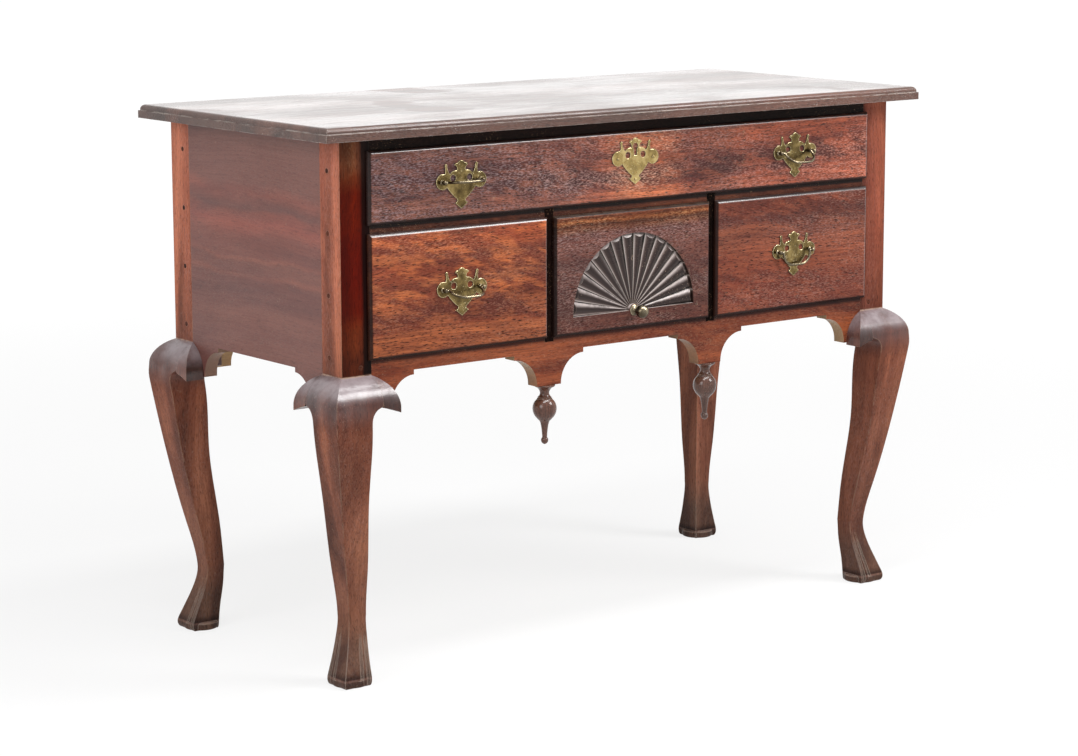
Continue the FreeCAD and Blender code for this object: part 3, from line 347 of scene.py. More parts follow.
class SharedEffects:
    """Node groups for the effects that several finishes share, each built once."""

    def _start(self, name: str, inputs: dict[str, str],
               outputs: dict[str, str]) -> tuple[NodeDesk, Sockets, Sockets]:
        """Make a group with its sockets.

        Args:
            name: the group's name.
            inputs: type of each input.
            outputs: type of each output.

        Returns:
            A desk on the group, the sockets to read and the sockets to fill.
        """
        tree = bpy.data.node_groups.new(name, "ShaderNodeTree")
        for in_out, sockets in (("INPUT", inputs), ("OUTPUT", outputs)):
            for label, kind in sockets.items():
                tree.interface.new_socket(name=label, in_out=in_out,
                                          socket_type="NodeSocket" + kind)
        read = tree.nodes.new("NodeGroupInput").outputs
        return NodeDesk(tree), read, tree.nodes.new("NodeGroupOutput").inputs

    @cached_property
    def grain(self) -> bpy.types.NodeTree:
        """Structure of wood along X: figure, fibres, pores, mottle, ribbon and speckle.

        Returns:
            The group, which reads a vector and puts out six masks.
        """
        names = ("Figure", "Fibre", "Pore", "Mottle", "Ribbon", "Speckle")
        desk, read, out = self._start("wood_grain", {"Vector": "Vector"},
                                      dict.fromkeys(names, "Float"))
        source = read["Vector"]
        bend = desk.noise(desk.stretched(source, BEND_SCALE), 1.0, BEND_DETAIL, output="Color")
        bend = desk.vector("SUBTRACT", bend, (NOISE_MIDDLE,) * 3)
        flow = desk.vector("ADD", source, desk.vector("MULTIPLY", bend, BEND_REACH))
        masks = {"Figure": FIGURE, "Fibre": FIBRE, "Pore": PORE, "Ribbon": RIBBON}
        for name, mask in masks.items():
            desk.put(out[name], mask.read(desk, flow))
        desk.put(out["Mottle"], MOTTLE.read(desk, source))
        speckle = desk.times(SPECKLE.read(desk, flow), SPECKLE_PATCHES.read(desk, flow))
        desk.put(out["Speckle"], speckle)
        return desk.tree

    @cached_property
    def edge_wear(self) -> bpy.types.NodeTree:
        """Arrises: a mask of them broken up for wear, a whole one also used for painted
        highlights, and a normal that eases them.

        Returns:
            The group, which reads a vector and a radius.
        """
        desk, read, out = self._start("edge_wear", {"Vector": "Vector", "Radius": "Float"},
                                      {"Edge": "Float", "Rim": "Float", "Normal": "Vector"})
        eased = desk.add("Bevel", {"Radius": read["Radius"]}, samples=BEVEL_SAMPLES)
        eased = eased.outputs["Normal"]
        along = desk.vector("DOT_PRODUCT", eased, desk.add("NewGeometry").outputs["Normal"])
        rim = desk.step(along, RUB_STARTS, RUB_FULL)
        desk.put(out["Rim"], rim)
        desk.put(out["Edge"], desk.times(rim, EDGE_RUB.read(desk, read["Vector"])))
        desk.put(out["Normal"], eased)
        return desk.tree

    @cached_property
    def scratches(self) -> bpy.types.NodeTree:
        """Fine scratches in two directions and small pale chips.

        Returns:
            The group, which reads a vector and puts out two masks.
        """
        desk, read, out = self._start("fine_scratches", {"Vector": "Vector"},
                                      {"Scratch": "Float", "Chip": "Float"})
        source = read["Vector"]
        lines = desk.math("MAXIMUM", *(mask.read(desk, source) for mask in SCRATCH_LINES))
        desk.put(out["Scratch"], desk.times(lines, SCRATCH_PLACES.read(desk, source)))
        desk.put(out["Chip"], CHIPS.read(desk, source))
        return desk.tree


EFFECTS = SharedEffects()


# ------------------------------ finishes
def start_material(name: str) -> tuple[bpy.types.Material, NodeDesk, bpy.types.Node]:
    """Make a material.

    Args:
        name: its name.

    Returns:
        The material, a desk on its tree, and its shader.
    """
    made = bpy.data.materials.new(name)
    made.use_nodes = True
    return made, NodeDesk(made.node_tree), made.node_tree.nodes["Principled BSDF"]


def uneven_normal(desk: NodeDesk, relief: Socket, eased: Socket, strength: float,
                  depth: float) -> Socket:
    """A normal that follows a relief; its depth is in millimetres."""
    values = {"Strength": strength, "Distance": depth * MM, "Height": relief, "Normal": eased}
    return desk.add("Bump", values).outputs["Normal"]


@dataclass(frozen=True)
class Bands:
    """Tints that follow one another along an axis, their borders wandering."""

    axis: str
    start: float
    length: float
    stops: Stops
    shake: float = 0.02
    drift: float = 6.0

    def over(self, desk: NodeDesk, place: Socket, tone: Socket) -> Socket:
        """Tint a colour.

        Args:
            desk: desk on the material's tree.
            place: object coordinates.
            tone: the colour.

        Returns:
            The colour times the tint at its place.
        """
        waves = desk.noise(place, self.drift, BORDER_DETAIL, BORDER_ROUGHNESS)
        wander = desk.times(desk.math("SUBTRACT", waves, NOISE_MIDDLE), 2 * self.shake)
        along = desk.math("ADD", desk.axes(place)[self.axis], wander)
        share = desk.times(desk.math("SUBTRACT", along, self.start), 1 / self.length)
        return desk.mix(1.0, tone, desk.ramp(share, self.stops), "MULTIPLY")


@dataclass(frozen=True)
class Carving:
    """A half round field of carved rays, darker and more polished than its board, with painted
    light and shade.

    The rim, the sinking and the foot say in millimetres where the field fades in: beyond its
    radius, behind its board's face, and from its middle's height.
    """

    height: float
    radius: float
    face: float
    rays: int = 16
    rim: Pair = (0.4, -0.2)
    sunk: Pair = (0.1, 0.5)
    foot: Pair = (-13.0, -11.0)
    # Painted shade, near black, in the creases between the rays, and a painted highlight line
    # beside each crease.
    stops: Stops = (
        (0.0, (0.001, 0.001, 0.001)), (0.05, (0.002, 0.0015, 0.0015)),
        (0.085, (0.62, 0.54, 0.5)), (0.13, (0.24, 0.19, 0.175)), (0.24, (0.05, 0.032, 0.028)),
        (0.5, (0.018, 0.01, 0.009)), (0.76, (0.035, 0.021, 0.018)),
        (0.87, (0.008, 0.005, 0.004)), (1.0, (0.001, 0.001, 0.001)))
    # Painted highlight on the rays' upward-facing flanks.
    flank_highlight: Colour = (0.5, 0.43, 0.41)
    flank: Pair = (0.12, 0.6)

    def mask(self, desk: NodeDesk, place: Socket) -> Socket:
        """Mark the field.

        Args:
            desk: desk on the material's tree.
            place: object coordinates.

        Returns:
            1 inside the field and below its board's face, clear of the lip under it.
        """
        middle = desk.vector("SUBTRACT", place, (0.0, 0.0, self.height))
        far = desk.vector("LENGTH", desk.vector("MULTIPLY", middle, (1.0, 0.0, 1.0)))
        axes = desk.axes(place)
        return desk.times(*(
            desk.step(value, *(start + part * MM for part in fade)) for value, start, fade in (
                (far, self.radius, self.rim), (axes["Y"], self.face, self.sunk),
                (axes["Z"], self.height, self.foot))))

    def colour(self, desk: NodeDesk, place: Socket) -> Socket:
        """Colour the rays.

        Args:
            desk: desk on the material's tree.
            place: object coordinates.

        Returns:
            Painted shade between the rays, a painted highlight line beside each crease, and
            painted highlights on the upper flanks.
        """
        axes = desk.axes(place)
        rise = desk.math("SUBTRACT", axes["Z"], self.height)
        turn = desk.math("ARCTAN2", rise, desk.times(axes["X"], -1.0))
        share = desk.math("FRACT", desk.times(turn, self.rays / math.pi))
        # Painted highlight where the flanks face up, in patches.
        upper = desk.step(desk.facing()["Z"], *self.flank)
        upper = desk.times(upper, FLANK_HIGHLIGHT_PATCHES.read(desk, place))
        return desk.mix(upper, desk.ramp(share, self.stops), self.flank_highlight)


@dataclass(frozen=True)
class Polish:
    """The coat on a wood and the places that keep it, even where none is named."""

    weight: float = 0.0
    rough: float = 0.2
    ior: float = 1.5
    heights: Pair | None = None
    lips: bool = False
    level: bool = False
    uneven: float = 0.0

    def depth(self, desk: NodeDesk, place: Socket, inside: Socket | None) -> Socket | float:
        """How deep the coat is.

        Args:
            desk: desk on the material's tree.
            place: object coordinates.
            inside: mask of a carving that keeps its coat, if any.

        Returns:
            A socket, or one number where the coat is even.
        """
        masks = [inside] if inside else []
        if self.heights:
            low, high = self.heights
            height = desk.axes(place)["Z"]
            masks.append(desk.times(
                desk.step(height, low - POLISH_FOOT, low + POLISH_FOOT),
                desk.step(height, high + POLISH_TOP, high - POLISH_TOP)))
        if self.lips:
            facing = desk.facing()
            masks.append(desk.step(desk.math("MAXIMUM", facing["Z"], facing["X"]), *LIP_SHINES))
        if self.level:
            masks.append(desk.step(desk.facing()["Z"], *LIES_LEVEL))
        if not masks:
            return self.weight
        most = desk.math("MAXIMUM", *masks)
        if self.uneven:
            clouds = replace(POLISH_CLOUDS, least=1.0 - self.uneven)
            most = desk.times(most, clouds.read(desk, place))
        return desk.times(most, self.weight)


@dataclass(frozen=True)
class WoodFinish:
    """Polished or raw wood with figure, fibres, pores, wear and scratches, and some painted light
    and shade.

    Heights are in metres; arrises and the depth of the bump are in millimetres.
    """

    name: str
    deep: Colour
    body: Colour
    light: Colour
    grain: Grain = Grain.ALONG_X
    seed: float = 0.0
    mottle: Colour = (0.12, 0.05, 0.035)
    mottle_amount: float = 0.35
    ribbon_amount: float = 0.18
    pore_amount: float = 0.55
    pore_shade: float = 0.35
    fibre_amount: float = 0.35
    speckle: Colour = (0.34, 0.2, 0.17)
    speckle_amount: float = 0.0
    worn: Colour = (0.3, 0.16, 0.1)
    wear: float = 0.5
    arris: float = 1.2
    scratch: float = 0.35
    chips: float = 0.25
    rough_low: float = 0.22
    rough_high: float = 0.42
    specular: float = 0.3
    bump: float = 0.3
    bump_depth: float = 0.4
    polish: Polish = Polish()
    bands: tuple[Bands, ...] = ()
    front_tint_and_shade: tuple[Bands, ...] = ()
    front_from: float = 0.42
    carving: Carving | None = None
    cut_face: Colour | None = None
    cut_normal: str = "Y"
    cut_clean: Pair = (0.9, 0.45)
    lip_black_and_shade: float = 0.0
    worn_line: Pair | None = None
    line_amount: float = 0.85
    knee_highlight: Colour | None = None
    stains: float = 0.0
    rib_height: float = 0.0
    rib_highlight: Colour = (0.3, 0.24, 0.2)
    rib_amount: float = 0.75
    rib_arris: float = 2.2
    low_arris: float = 0.7

    def turned(self, desk: NodeDesk, place: Socket) -> Socket:
        """Object coordinates with the fibres laid along X."""
        shift = tuple(self.seed * share for share in SEED_SHARES)
        return desk.stretched(place, (1.0, 1.0, 1.0), self.grain.value, shift)

    def timber(self, desk: NodeDesk, grain: Sockets) -> Socket:
        """Layer the colours of the wood itself.

        Args:
            desk: desk on the material's tree.
            grain: masks of the wood's structure.

        Returns:
            The socket of the colour.
        """
        tone = desk.ramp(grain["Figure"], ((0.0, self.deep), (0.5, self.body), (1.0, self.light)))
        pore = tuple(self.pore_shade * part for part in self.deep)
        layers = [("Mottle", self.mottle_amount, self.mottle),
                  ("Ribbon", self.ribbon_amount, self.light),
                  ("Fibre", self.fibre_amount, self.deep),
                  ("Pore", self.pore_amount, pore)]
        if self.speckle_amount:
            layers.append(("Speckle", self.speckle_amount, self.speckle))
        for mask, amount, colour in layers:
            tone = desk.mix(desk.times(grain[mask], amount), tone, colour)
        return tone

    def faces(self, desk: NodeDesk, place: Socket, tone: Socket, mottle: Socket) -> Socket:
        """Tint the front of a post or knee block, partly as painted shade, and show bare wood on
        sawn faces.

        Args:
            desk: desk on the material's tree.
            place: object coordinates.
            tone: the colour so far.
            mottle: mask of the dirt on the sawn faces.

        Returns:
            The socket of the new colour.
        """
        # Front tints, with painted shade beside the drawers' lips on the front-left post and on
        # the knee blocks' front ends.
        if self.front_tint_and_shade:
            front = desk.step(desk.times(desk.facing()["Y"], -1.0), *FACES_FRONT)
            above = desk.step(desk.axes(place)["Z"], self.front_from, self.front_from + FRONT_FOOT)
            tinted = tone
            for bands in self.front_tint_and_shade:
                tinted = bands.over(desk, place, tinted)
            tone = desk.mix(desk.times(front, above), tone, tinted)
        if self.cut_face:
            aside = desk.math("ABSOLUTE", desk.facing()[self.cut_normal])
            cut = desk.step(aside, *FACES_OFF_THE_CUT)
            clean = desk.step(mottle, 0.0, 1.0, *self.cut_clean)
            tone = desk.mix(desk.times(cut, clean), tone, self.cut_face)
        return tone

    def wear_and_painted_light(self, desk: NodeDesk, place: Socket, tone: Socket, inside: Socket | None) -> Socket:
        """Lay on the worn line, the painted highlight on the knees and the painted shade on the
        lips.

        Args:
            desk: desk on the material's tree.
            place: object coordinates.
            tone: the colour so far.
            inside: mask of a carving that keeps clear of the painted shade, if any.

        Returns:
            The socket of the new colour.
        """
        height = desk.axes(place)["Z"]
        if self.worn_line:
            middle, width = self.worn_line
            off = desk.math("ABSOLUTE", desk.math("SUBTRACT", height, middle))
            line = desk.step(off, width, LINE_CORE * width)
            line = desk.times(line, LINE_RUB.read(desk, place), self.line_amount)
            tone = desk.mix(line, tone, self.worn)
        # Painted highlight on the upward-facing tops of the knees, in soft clouds.
        if self.knee_highlight:
            low, high = self.polish.heights
            lit_tops = desk.times(desk.step(height, low, low + POLISH_FOOT),
                               desk.step(height, high + KNEE_HIGHLIGHT_TOP, high - KNEE_HIGHLIGHT_TOP),
                               desk.step(desk.facing()["Z"], *FACES_UP),
                               KNEE_HIGHLIGHT_CLOUDS.read(desk, place))
            tone = desk.mix(lit_tops, tone, self.knee_highlight)
        # Painted shade, near black, on the lips' sides and undersides, over their darker finish.
        if self.lip_black_and_shade:
            aside = desk.math("ABSOLUTE", desk.facing()["Y"])
            aside = desk.step(aside, *FACES_OFF_THE_LIP)
            if inside:
                aside = desk.times(aside, desk.math("SUBTRACT", 1.0, inside))
            tone = desk.mix(desk.times(aside, self.lip_black_and_shade), tone, LIP_BLACK)
        return tone

    def gloss(self, desk: NodeDesk, place: Socket, grain: Sockets, scratch: Socket) -> Socket:
        """How rough the surface is.

        Args:
            desk: desk on the material's tree.
            place: object coordinates.
            grain: masks of the wood's structure.
            scratch: mask of the scratches.

        Returns:
            The socket of the roughness.
        """
        dulled = [desk.weighed(grain, GRAIN_DULLS), desk.times(scratch, SCRATCH_DULLS)]
        if self.stains:
            dulled.append(desk.times(STAIN_SPOTS.read(desk, place), self.stains))
        most = desk.math("MAXIMUM", *dulled)
        return desk.step(most, 0.0, 1.0, self.rough_low, self.rough_high)

    def build(self) -> bpy.types.Material:
        """Make the material, once per finish.

        Returns:
            The material.
        """
        made = bpy.data.materials.get(self.name)
        if made:
            return made
        made, desk, shader = start_material(self.name)
        place = desk.add("TexCoord").outputs["Object"]
        vector = self.turned(desk, place)
        grain = desk.effect(EFFECTS.grain, Vector=vector)
        marks = desk.effect(EFFECTS.scratches, Vector=vector)
        inside = self.carving.mask(desk, place) if self.carving else None
        arris, low = self.arris * MM, None
        if self.rib_height:
            low = desk.step(desk.axes(place)["Z"], self.rib_height, RIB_FADE * self.rib_height)
            arris = desk.step(low, 0.0, 1.0, arris, self.low_arris * MM)
        wear = desk.effect(EFFECTS.edge_wear, Vector=vector, Radius=arris)

        tone = self.timber(desk, grain)
        for bands in self.bands:
            tone = bands.over(desk, place, tone)
        if inside:
            tone = desk.mix(inside, tone, self.carving.colour(desk, place))
        for mask, amount in ((marks["Scratch"], self.scratch), (marks["Chip"], self.chips),
                             (wear["Edge"], self.wear)):
            tone = desk.mix(desk.times(mask, amount), tone, self.worn)
        tone = self.faces(desk, place, tone, grain["Mottle"])
        tone = self.wear_and_painted_light(desk, place, tone, inside)
        # Painted highlight along the ribs of the feet, on their arrises.
        if low:
            ribs = desk.effect(EFFECTS.edge_wear, Vector=vector, Radius=self.rib_arris * MM)
            tone = desk.mix(desk.times(ribs["Rim"], low, self.rib_amount), tone, self.rib_highlight)

        relief = desk.math("ADD", desk.weighed(grain, GRAIN_RAISES),
                           desk.weighed(marks, MARKS_RAISE))
        desk.fill(shader, {
            "Base Color": tone,
            "Roughness": self.gloss(desk, place, grain, marks["Scratch"]),
            "Normal": uneven_normal(desk, relief, wear["Normal"], self.bump, self.bump_depth),
            "Specular IOR Level": self.specular,
            "Coat Weight": self.polish.depth(desk, place, inside),
            "Coat Roughness": self.polish.rough,
            "Coat IOR": self.polish.ior})
        return made


@dataclass(frozen=True)
class BrassFinish:
    """Old brass: olive in the hollows, bright where worn, with painted edge highlights and painted
    shade.

    The cloud is given by scale, detail and roughness, and the shades by the clouds' levels of the
    dull, the plain and the bright brass.
    """

    name: str
    dull: Colour = (0.07, 0.048, 0.02)
    body: Colour = (0.17, 0.12, 0.046)
    sheen: Colour = (0.34, 0.25, 0.1)
    bright: Colour = (0.95, 0.82, 0.5)
    tarnish_and_shade: Colour = (0.03, 0.02, 0.01)
    cloud: Triple = (75.0, 4.0, 0.55)
    shades: Triple = (0.3, 0.5, 0.7)
    arris: float = 1.7
    rough_low: float = 0.24
    rough_high: float = 0.42
    rough_range: Pair = (0.15, 0.95)
    bump: float = 0.2
    bump_depth: float = 0.25
    spot_amount: float = 0.35
    scratch: float = 0.5
    edge_rub_and_highlight: float = 0.8
    side_shade: float = 0.9
    shaded_faces: Pair = (0.35, 0.75)
    seed: float = 0.0

    def build(self) -> bpy.types.Material:
        """Make the material, once per finish.

        Returns:
            The material.
        """
        made = bpy.data.materials.get(self.name)
        if made:
            return made
        made, desk, shader = start_material(self.name)
        place = desk.add("TexCoord").outputs["Object"]
        vector = desk.stretched(place, (1.0, 1.0, 1.0), shift=(self.seed,) * 3)
        wear = desk.effect(EFFECTS.edge_wear, Vector=vector, Radius=self.arris * MM)
        marks = desk.effect(EFFECTS.scratches, Vector=vector)
        masks = {"cloud": desk.noise(vector, *self.cloud),
                 "spots": TARNISH_SPOTS.read(desk, vector)}
        # Painted shade on the faces that turn down or to the left, away from the light.
        facing = desk.facing()
        away = desk.math("MAXIMUM", *(desk.times(facing[axis], -1.0) for axis in "ZX"))
        shaded_sides = desk.step(away, *self.shaded_faces)
        shades = (self.dull, self.body, self.sheen)
        tone = desk.ramp(masks["cloud"], tuple(zip(self.shades, shades)))
        # Tarnish spots, bright scratches, edges worn bright with a painted highlight, and painted
        # shade on the sides.
        for mask, amount, colour in ((masks["spots"], self.spot_amount, self.tarnish_and_shade),
                                     (marks["Scratch"], self.scratch, self.bright),
                                     (wear["Rim"], self.edge_rub_and_highlight, self.bright),
                                     (shaded_sides, self.side_shade, self.tarnish_and_shade)):
            tone = desk.mix(desk.times(mask, amount), tone, colour)
        rough = desk.weighed(masks, {"cloud": 0.7, "spots": 0.4})
        relief = desk.weighed(masks, {"cloud": 1.0, "spots": -0.5})
        desk.fill(shader, {
            "Base Color": tone,
            "Roughness": desk.step(rough, *self.rough_range, self.rough_low, self.rough_high),
            "Normal": uneven_normal(desk, relief, wear["Normal"], self.bump, self.bump_depth),
            "Metallic": 1.0})
        return made


# ------------------------------ dressing and turning
def dress(node: str, material: bpy.types.Material) -> None:
    """Give a CAD node its material.

    Args:
        node: the node's name.
        material: its finish.
    """
    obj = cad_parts[node]
    obj.data.materials.clear()
    obj.data.materials.append(material)
    LOG.info("dressed %s with %s", node, material.name)


def faces_in_order(mesh: bmesh.types.BMesh) -> list[list[int]]:
    """List a mesh's faces in an order that is the same each run, which its operators don't keep.

    Args:
        mesh: the shape.

    Returns:
        The numbers of each face's corners, from its lowest one on.
    """
    mesh.verts.index_update()
    faces = []
    for face in mesh.faces:
        corners = [vert.index for vert in face.verts]
        first = corners.index(min(corners))
        faces.append(corners[first:] + corners[:first])
    return sorted(faces)


def finish_piece(mesh: bmesh.types.BMesh, name: str, material: bpy.types.Material, body: str,
                 stands_for: str, levels: int) -> bpy.types.Object:
    """Turn a bmesh into a finished piece of the lowboy.

    Args:
        mesh: the shape, in metres and in place; it is freed.
        name: the piece's name.
        material: its finish.
        body: the CAD body it rides on.
        stands_for: the CAD node it takes the place of.
        levels: levels of subdivision that finish it.

    Returns:
        The new object.
    """
    bmesh.ops.remove_doubles(mesh, verts=mesh.verts, dist=WELD)
    bmesh.ops.recalc_face_normals(mesh, faces=mesh.faces)
    data = bpy.data.meshes.new(name)
    data.from_pydata([tuple(vert.co) for vert in mesh.verts], [], faces_in_order(mesh))
    data.polygons.foreach_set("use_smooth", [True] * len(data.polygons))
    mesh.free()
    obj = bpy.data.objects.new(name, data)
    bpy.context.scene.collection.objects.link(obj)
    data.materials.append(material)
    smooth = obj.modifiers.new("rounding", "SUBSURF")
    smooth.levels = levels
    smooth.render_levels = levels
    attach(obj, body)
    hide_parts(stands_for)
    LOG.info("made %s with %s", name, material.name)
    return obj


@dataclass
class Turning:
    """A piece turned on a lathe, given by radii along its axis."""

    profile: tuple[Pair, ...]
    origin: Vector
    axis: Vector
    steps: int

    def mesh(self) -> bmesh.types.BMesh:
        """Spin the half outline of distance and radius, both in millimetres, round the axis.

        Returns:
            The mesh, in metres.
        """
        made = bmesh.new()
        side = self.axis.orthogonal().normalized()
        line = [made.verts.new(self.origin + self.axis * (far * MM) + side * (radius * MM))
                for far, radius in self.profile]
        edges = [made.edges.new(pair) for pair in zip(line, line[1:])]
        bmesh.ops.spin(made, geom=line + edges, cent=self.origin, axis=self.axis,
                       angle=2 * math.pi, steps=self.steps, use_merge=True)
        return made


# ------------------------------ the finishes in use
LEG_BANDS = Bands("Z", 0.0, 0.762, (
    (0.0, (0.65, 0.9, 1.1)), (0.02, (0.56, 0.86, 1.15)), (0.07, (0.54, 0.82, 1.1)),
    (0.13, (0.85, 1.0, 1.2)), (0.3, (1.12, 1.28, 1.5)), (0.46, (1.15, 1.18, 1.3)),
    (0.51, (0.5, 0.5, 0.68)), (0.556, (0.4, 0.4, 0.58)), (0.5625, (1.35, 1.4, 1.6)),
    (0.61, (1.7, 1.75, 1.95)), (0.72, (2.1, 2.1, 2.35)), (1.0, (2.15, 2.2, 2.6))), shake=0.004)

# Greyer pads, with a painted highlight on each pad's top rim and painted shade in the undercut
# just above it.
PAD_TONE_AND_LIGHT = Bands("Z", 0.0, 0.04, (
    (0.0, (0.7, 0.66, 0.62)), (0.1, (0.6, 0.7, 0.8)), (0.22, (0.7, 0.8, 0.9)),
    (0.26, (1.4, 1.6, 1.8)), (0.29, (1.3, 1.4, 1.6)), (0.33, (0.35, 0.35, 0.38)),
    (0.4, (0.5, 0.5, 0.52)), (0.55, WHITE), (1.0, WHITE)), shake=0.0006, drift=30.0)

# Deep red across the front-left post's front, with painted shadow darkening the edge beside the
# drawers' lips.
POST_TINT_AND_SHADOW = Bands("X", -0.4955, 0.047, (
    (0.0, (0.17, 0.03, 0.008)), (0.2, (0.26, 0.05, 0.013)), (0.45, (0.4, 0.085, 0.022)),
    (0.66, (0.28, 0.058, 0.018)), (0.76, (0.03, 0.008, 0.004)), (1.0, (0.02, 0.006, 0.003))),
    shake=0.004, drift=9.0)

POST_HEIGHT_BANDS = Bands("Z", 0.426, 0.317, (
    (0.0, (0.8, 2.2, 5.0)), (0.05, (0.78, 2.2, 5.0)), (0.13, (1.2, 3.2, 6.0)),
    (0.2, (1.15, 2.6, 4.0)), (0.26, (0.9, 0.8, 0.75)), (0.4, (0.78, 0.5, 0.45)),
    (0.55, (0.8, 0.55, 0.5)), (0.65, (0.9, 0.85, 0.75)), (0.76, (0.95, 0.95, 0.85)),
    (0.83, (1.2, 3.2, 5.5)), (0.9, (1.6, 7.5, 19.0)), (1.0, (1.5, 7.5, 20.0))),
    shake=0.012, drift=14.0)

RIGHT_POST_BANDS = Bands("X", 0.448, 0.047, (
    (0.0, (0.5, 0.42, 0.42)), (0.3, (0.66, 0.58, 0.6)), (0.7, (0.72, 0.62, 0.62)),
    (1.0, (0.6, 0.52, 0.52))), shake=0.007, drift=9.0)

BLOCK_SHADE = Bands("X", -1.0, 2.0, ((0.0, (0.3, 0.27, 0.27)), (1.0, (0.3, 0.27, 0.27))))

LEG_WOOD = WoodFinish(
    "leg_mahogany", deep=(0.065, 0.02, 0.011), body=(0.17, 0.05, 0.025),
    light=(0.31, 0.105, 0.05), grain=Grain.ALONG_Z, mottle=(0.2, 0.06, 0.03), mottle_amount=0.4,
    speckle=(0.3, 0.17, 0.13), speckle_amount=0.2, worn=(0.4, 0.26, 0.18), wear=0.6, arris=2.5,
    scratch=0.25, rough_low=0.26, rough_high=0.42, bump=0.25, specular=0.06,
    bands=(LEG_BANDS, PAD_TONE_AND_LIGHT), knee_highlight=(0.27, 0.22, 0.23), worn_line=(0.4262, 0.0016),
    rib_height=0.075,
    polish=Polish(0.85, 0.24, 1.7, heights=(0.376, 0.4265), uneven=0.5))

# The legs' wood for pegs and drops, without what belongs to the shape of a leg.
SMALL_WOOD = replace(LEG_WOOD, bands=(), knee_highlight=None, worn_line=None, rib_height=0.0)

SIDE_BANDS = Bands("Z", 0.43, 0.313, (
    (0.0, (0.95, 0.95, 0.95)), (0.33, (0.95, 0.97, 1.0)), (0.35, (1.25, 1.18, 1.1)),
    (0.37, WHITE), (0.41, WHITE), (0.425, (1.3, 1.2, 1.1)), (0.44, (1.05, 1.0, 1.0)),
    (0.52, (1.1, 0.98, 0.95)), (0.58, (1.6, 1.2, 1.08)), (0.63, (1.35, 1.1, 1.0)),
    (0.65, WHITE), (0.71, (1.3, 1.1, 1.02)), (0.76, (0.95, 0.97, 1.0)),
    (1.0, (0.85, 0.88, 0.9))), shake=0.035, drift=3.2)

SIDE_WOOD = WoodFinish(
    "side_mahogany", deep=(0.1, 0.036, 0.031), body=(0.15, 0.05, 0.039), light=(0.2, 0.07, 0.05),
    grain=Grain.ALONG_Y, seed=2.3, mottle=(0.125, 0.045, 0.036), mottle_amount=0.4,
    ribbon_amount=0.25, fibre_amount=0.25, pore_amount=0.35, speckle=(0.24, 0.15, 0.13),
    speckle_amount=0.22, rough_low=0.3, rough_high=0.46, specular=0.4, bands=(SIDE_BANDS,),
    cut_face=(0.22, 0.14, 0.08), cut_normal="X")

TOP_WOOD = WoodFinish(
    "top_mahogany", deep=(0.04, 0.018, 0.013), body=(0.09, 0.037, 0.026),
    light=(0.15, 0.064, 0.044), seed=4.1, mottle=(0.06, 0.04, 0.032), mottle_amount=0.6,
    speckle=(0.25, 0.2, 0.18), speckle_amount=0.25, worn=(0.5, 0.43, 0.38), wear=0.9, arris=1.5,
    scratch=0.5, rough_low=0.14, rough_high=0.36, bump=0.16, specular=0.5, stains=1.0,
    polish=Polish(0.45, level=True))

# Painted shadow along the apron's top, under the lower drawers' lips.
APRON_LIP_SHADOW = Bands("Z", 0.41, 0.041, (
    (0.0, WHITE), (0.7, WHITE), (0.8, (0.2, 0.16, 0.16)), (1.0, (0.08, 0.06, 0.06))),
    shake=0.0005, drift=20.0)

# Painted shadow along the middle rail's top, under the long drawer's lip.
RAIL_LIP_SHADOW = Bands("Z", 0.6107, 0.0212, (
    (0.0, WHITE), (0.46, WHITE), (0.58, (0.12, 0.12, 0.14)), (1.0, (0.08, 0.08, 0.1))),
    shake=0.0005, drift=20.0)

FRONT_WOOD = WoodFinish(
    "rail_mahogany", deep=(0.07, 0.014, 0.008), body=(0.19, 0.039, 0.016),
    light=(0.36, 0.095, 0.036), seed=6.7, mottle=(0.14, 0.03, 0.014), ribbon_amount=0.4,
    fibre_amount=0.45, speckle=(0.4, 0.2, 0.13), speckle_amount=0.25, worn=(0.42, 0.26, 0.14),
    wear=0.45, arris=0.9, specular=0.14)

LONG_BANDS = Bands("X", -0.43, 0.86, (
    (0.0, (0.72, 0.82, 0.98)), (0.2, (0.82, 0.92, 1.06)), (0.36, (1.05, 1.05, 1.1)),
    (0.43, (1.35, 1.2, 1.15)), (0.49, (1.8, 1.65, 1.3)), (0.56, (1.7, 1.5, 1.2)),
    (0.62, (0.8, 0.7, 0.72)), (0.7, (0.78, 0.7, 0.7)), (0.76, (1.05, 0.82, 0.76)),
    (0.86, (1.15, 0.88, 0.8)), (1.0, (1.4, 1.05, 0.92))), shake=0.035)

LEFT_BANDS = Bands("Z", 0.4415, 0.178, (
    (0.0, (0.75, 0.7, 0.7)), (0.12, (0.95, 0.9, 0.88)), (0.4, (1.0, 0.95, 0.95)),
    (0.52, (1.6, 1.5, 1.3)), (0.6, (1.2, 1.25, 1.25)), (0.68, (1.7, 1.55, 1.3)),
    (0.76, (1.3, 1.3, 1.25)), (0.9, (1.7, 1.5, 1.25)), (1.0, (1.0, 0.95, 0.9))),
    shake=0.03, drift=5.0)

FAN_BANDS = Bands("Z", 0.44, 0.182, (
    (0.0, (1.15, 0.95, 0.85)), (0.08, (0.98, 0.92, 0.9)), (0.2, (0.85, 0.9, 0.92)),
    (0.8, (1.2, 1.25, 1.3)), (0.85, (1.2, 1.05, 0.75)), (0.875, (0.55, 0.5, 0.4)),
    (0.905, (1.9, 1.5, 0.75)), (0.93, (0.8, 0.6, 0.4)), (0.96, (1.7, 1.3, 0.8)),
    (1.0, (1.5, 1.3, 1.1))), shake=0.006, drift=14.0)

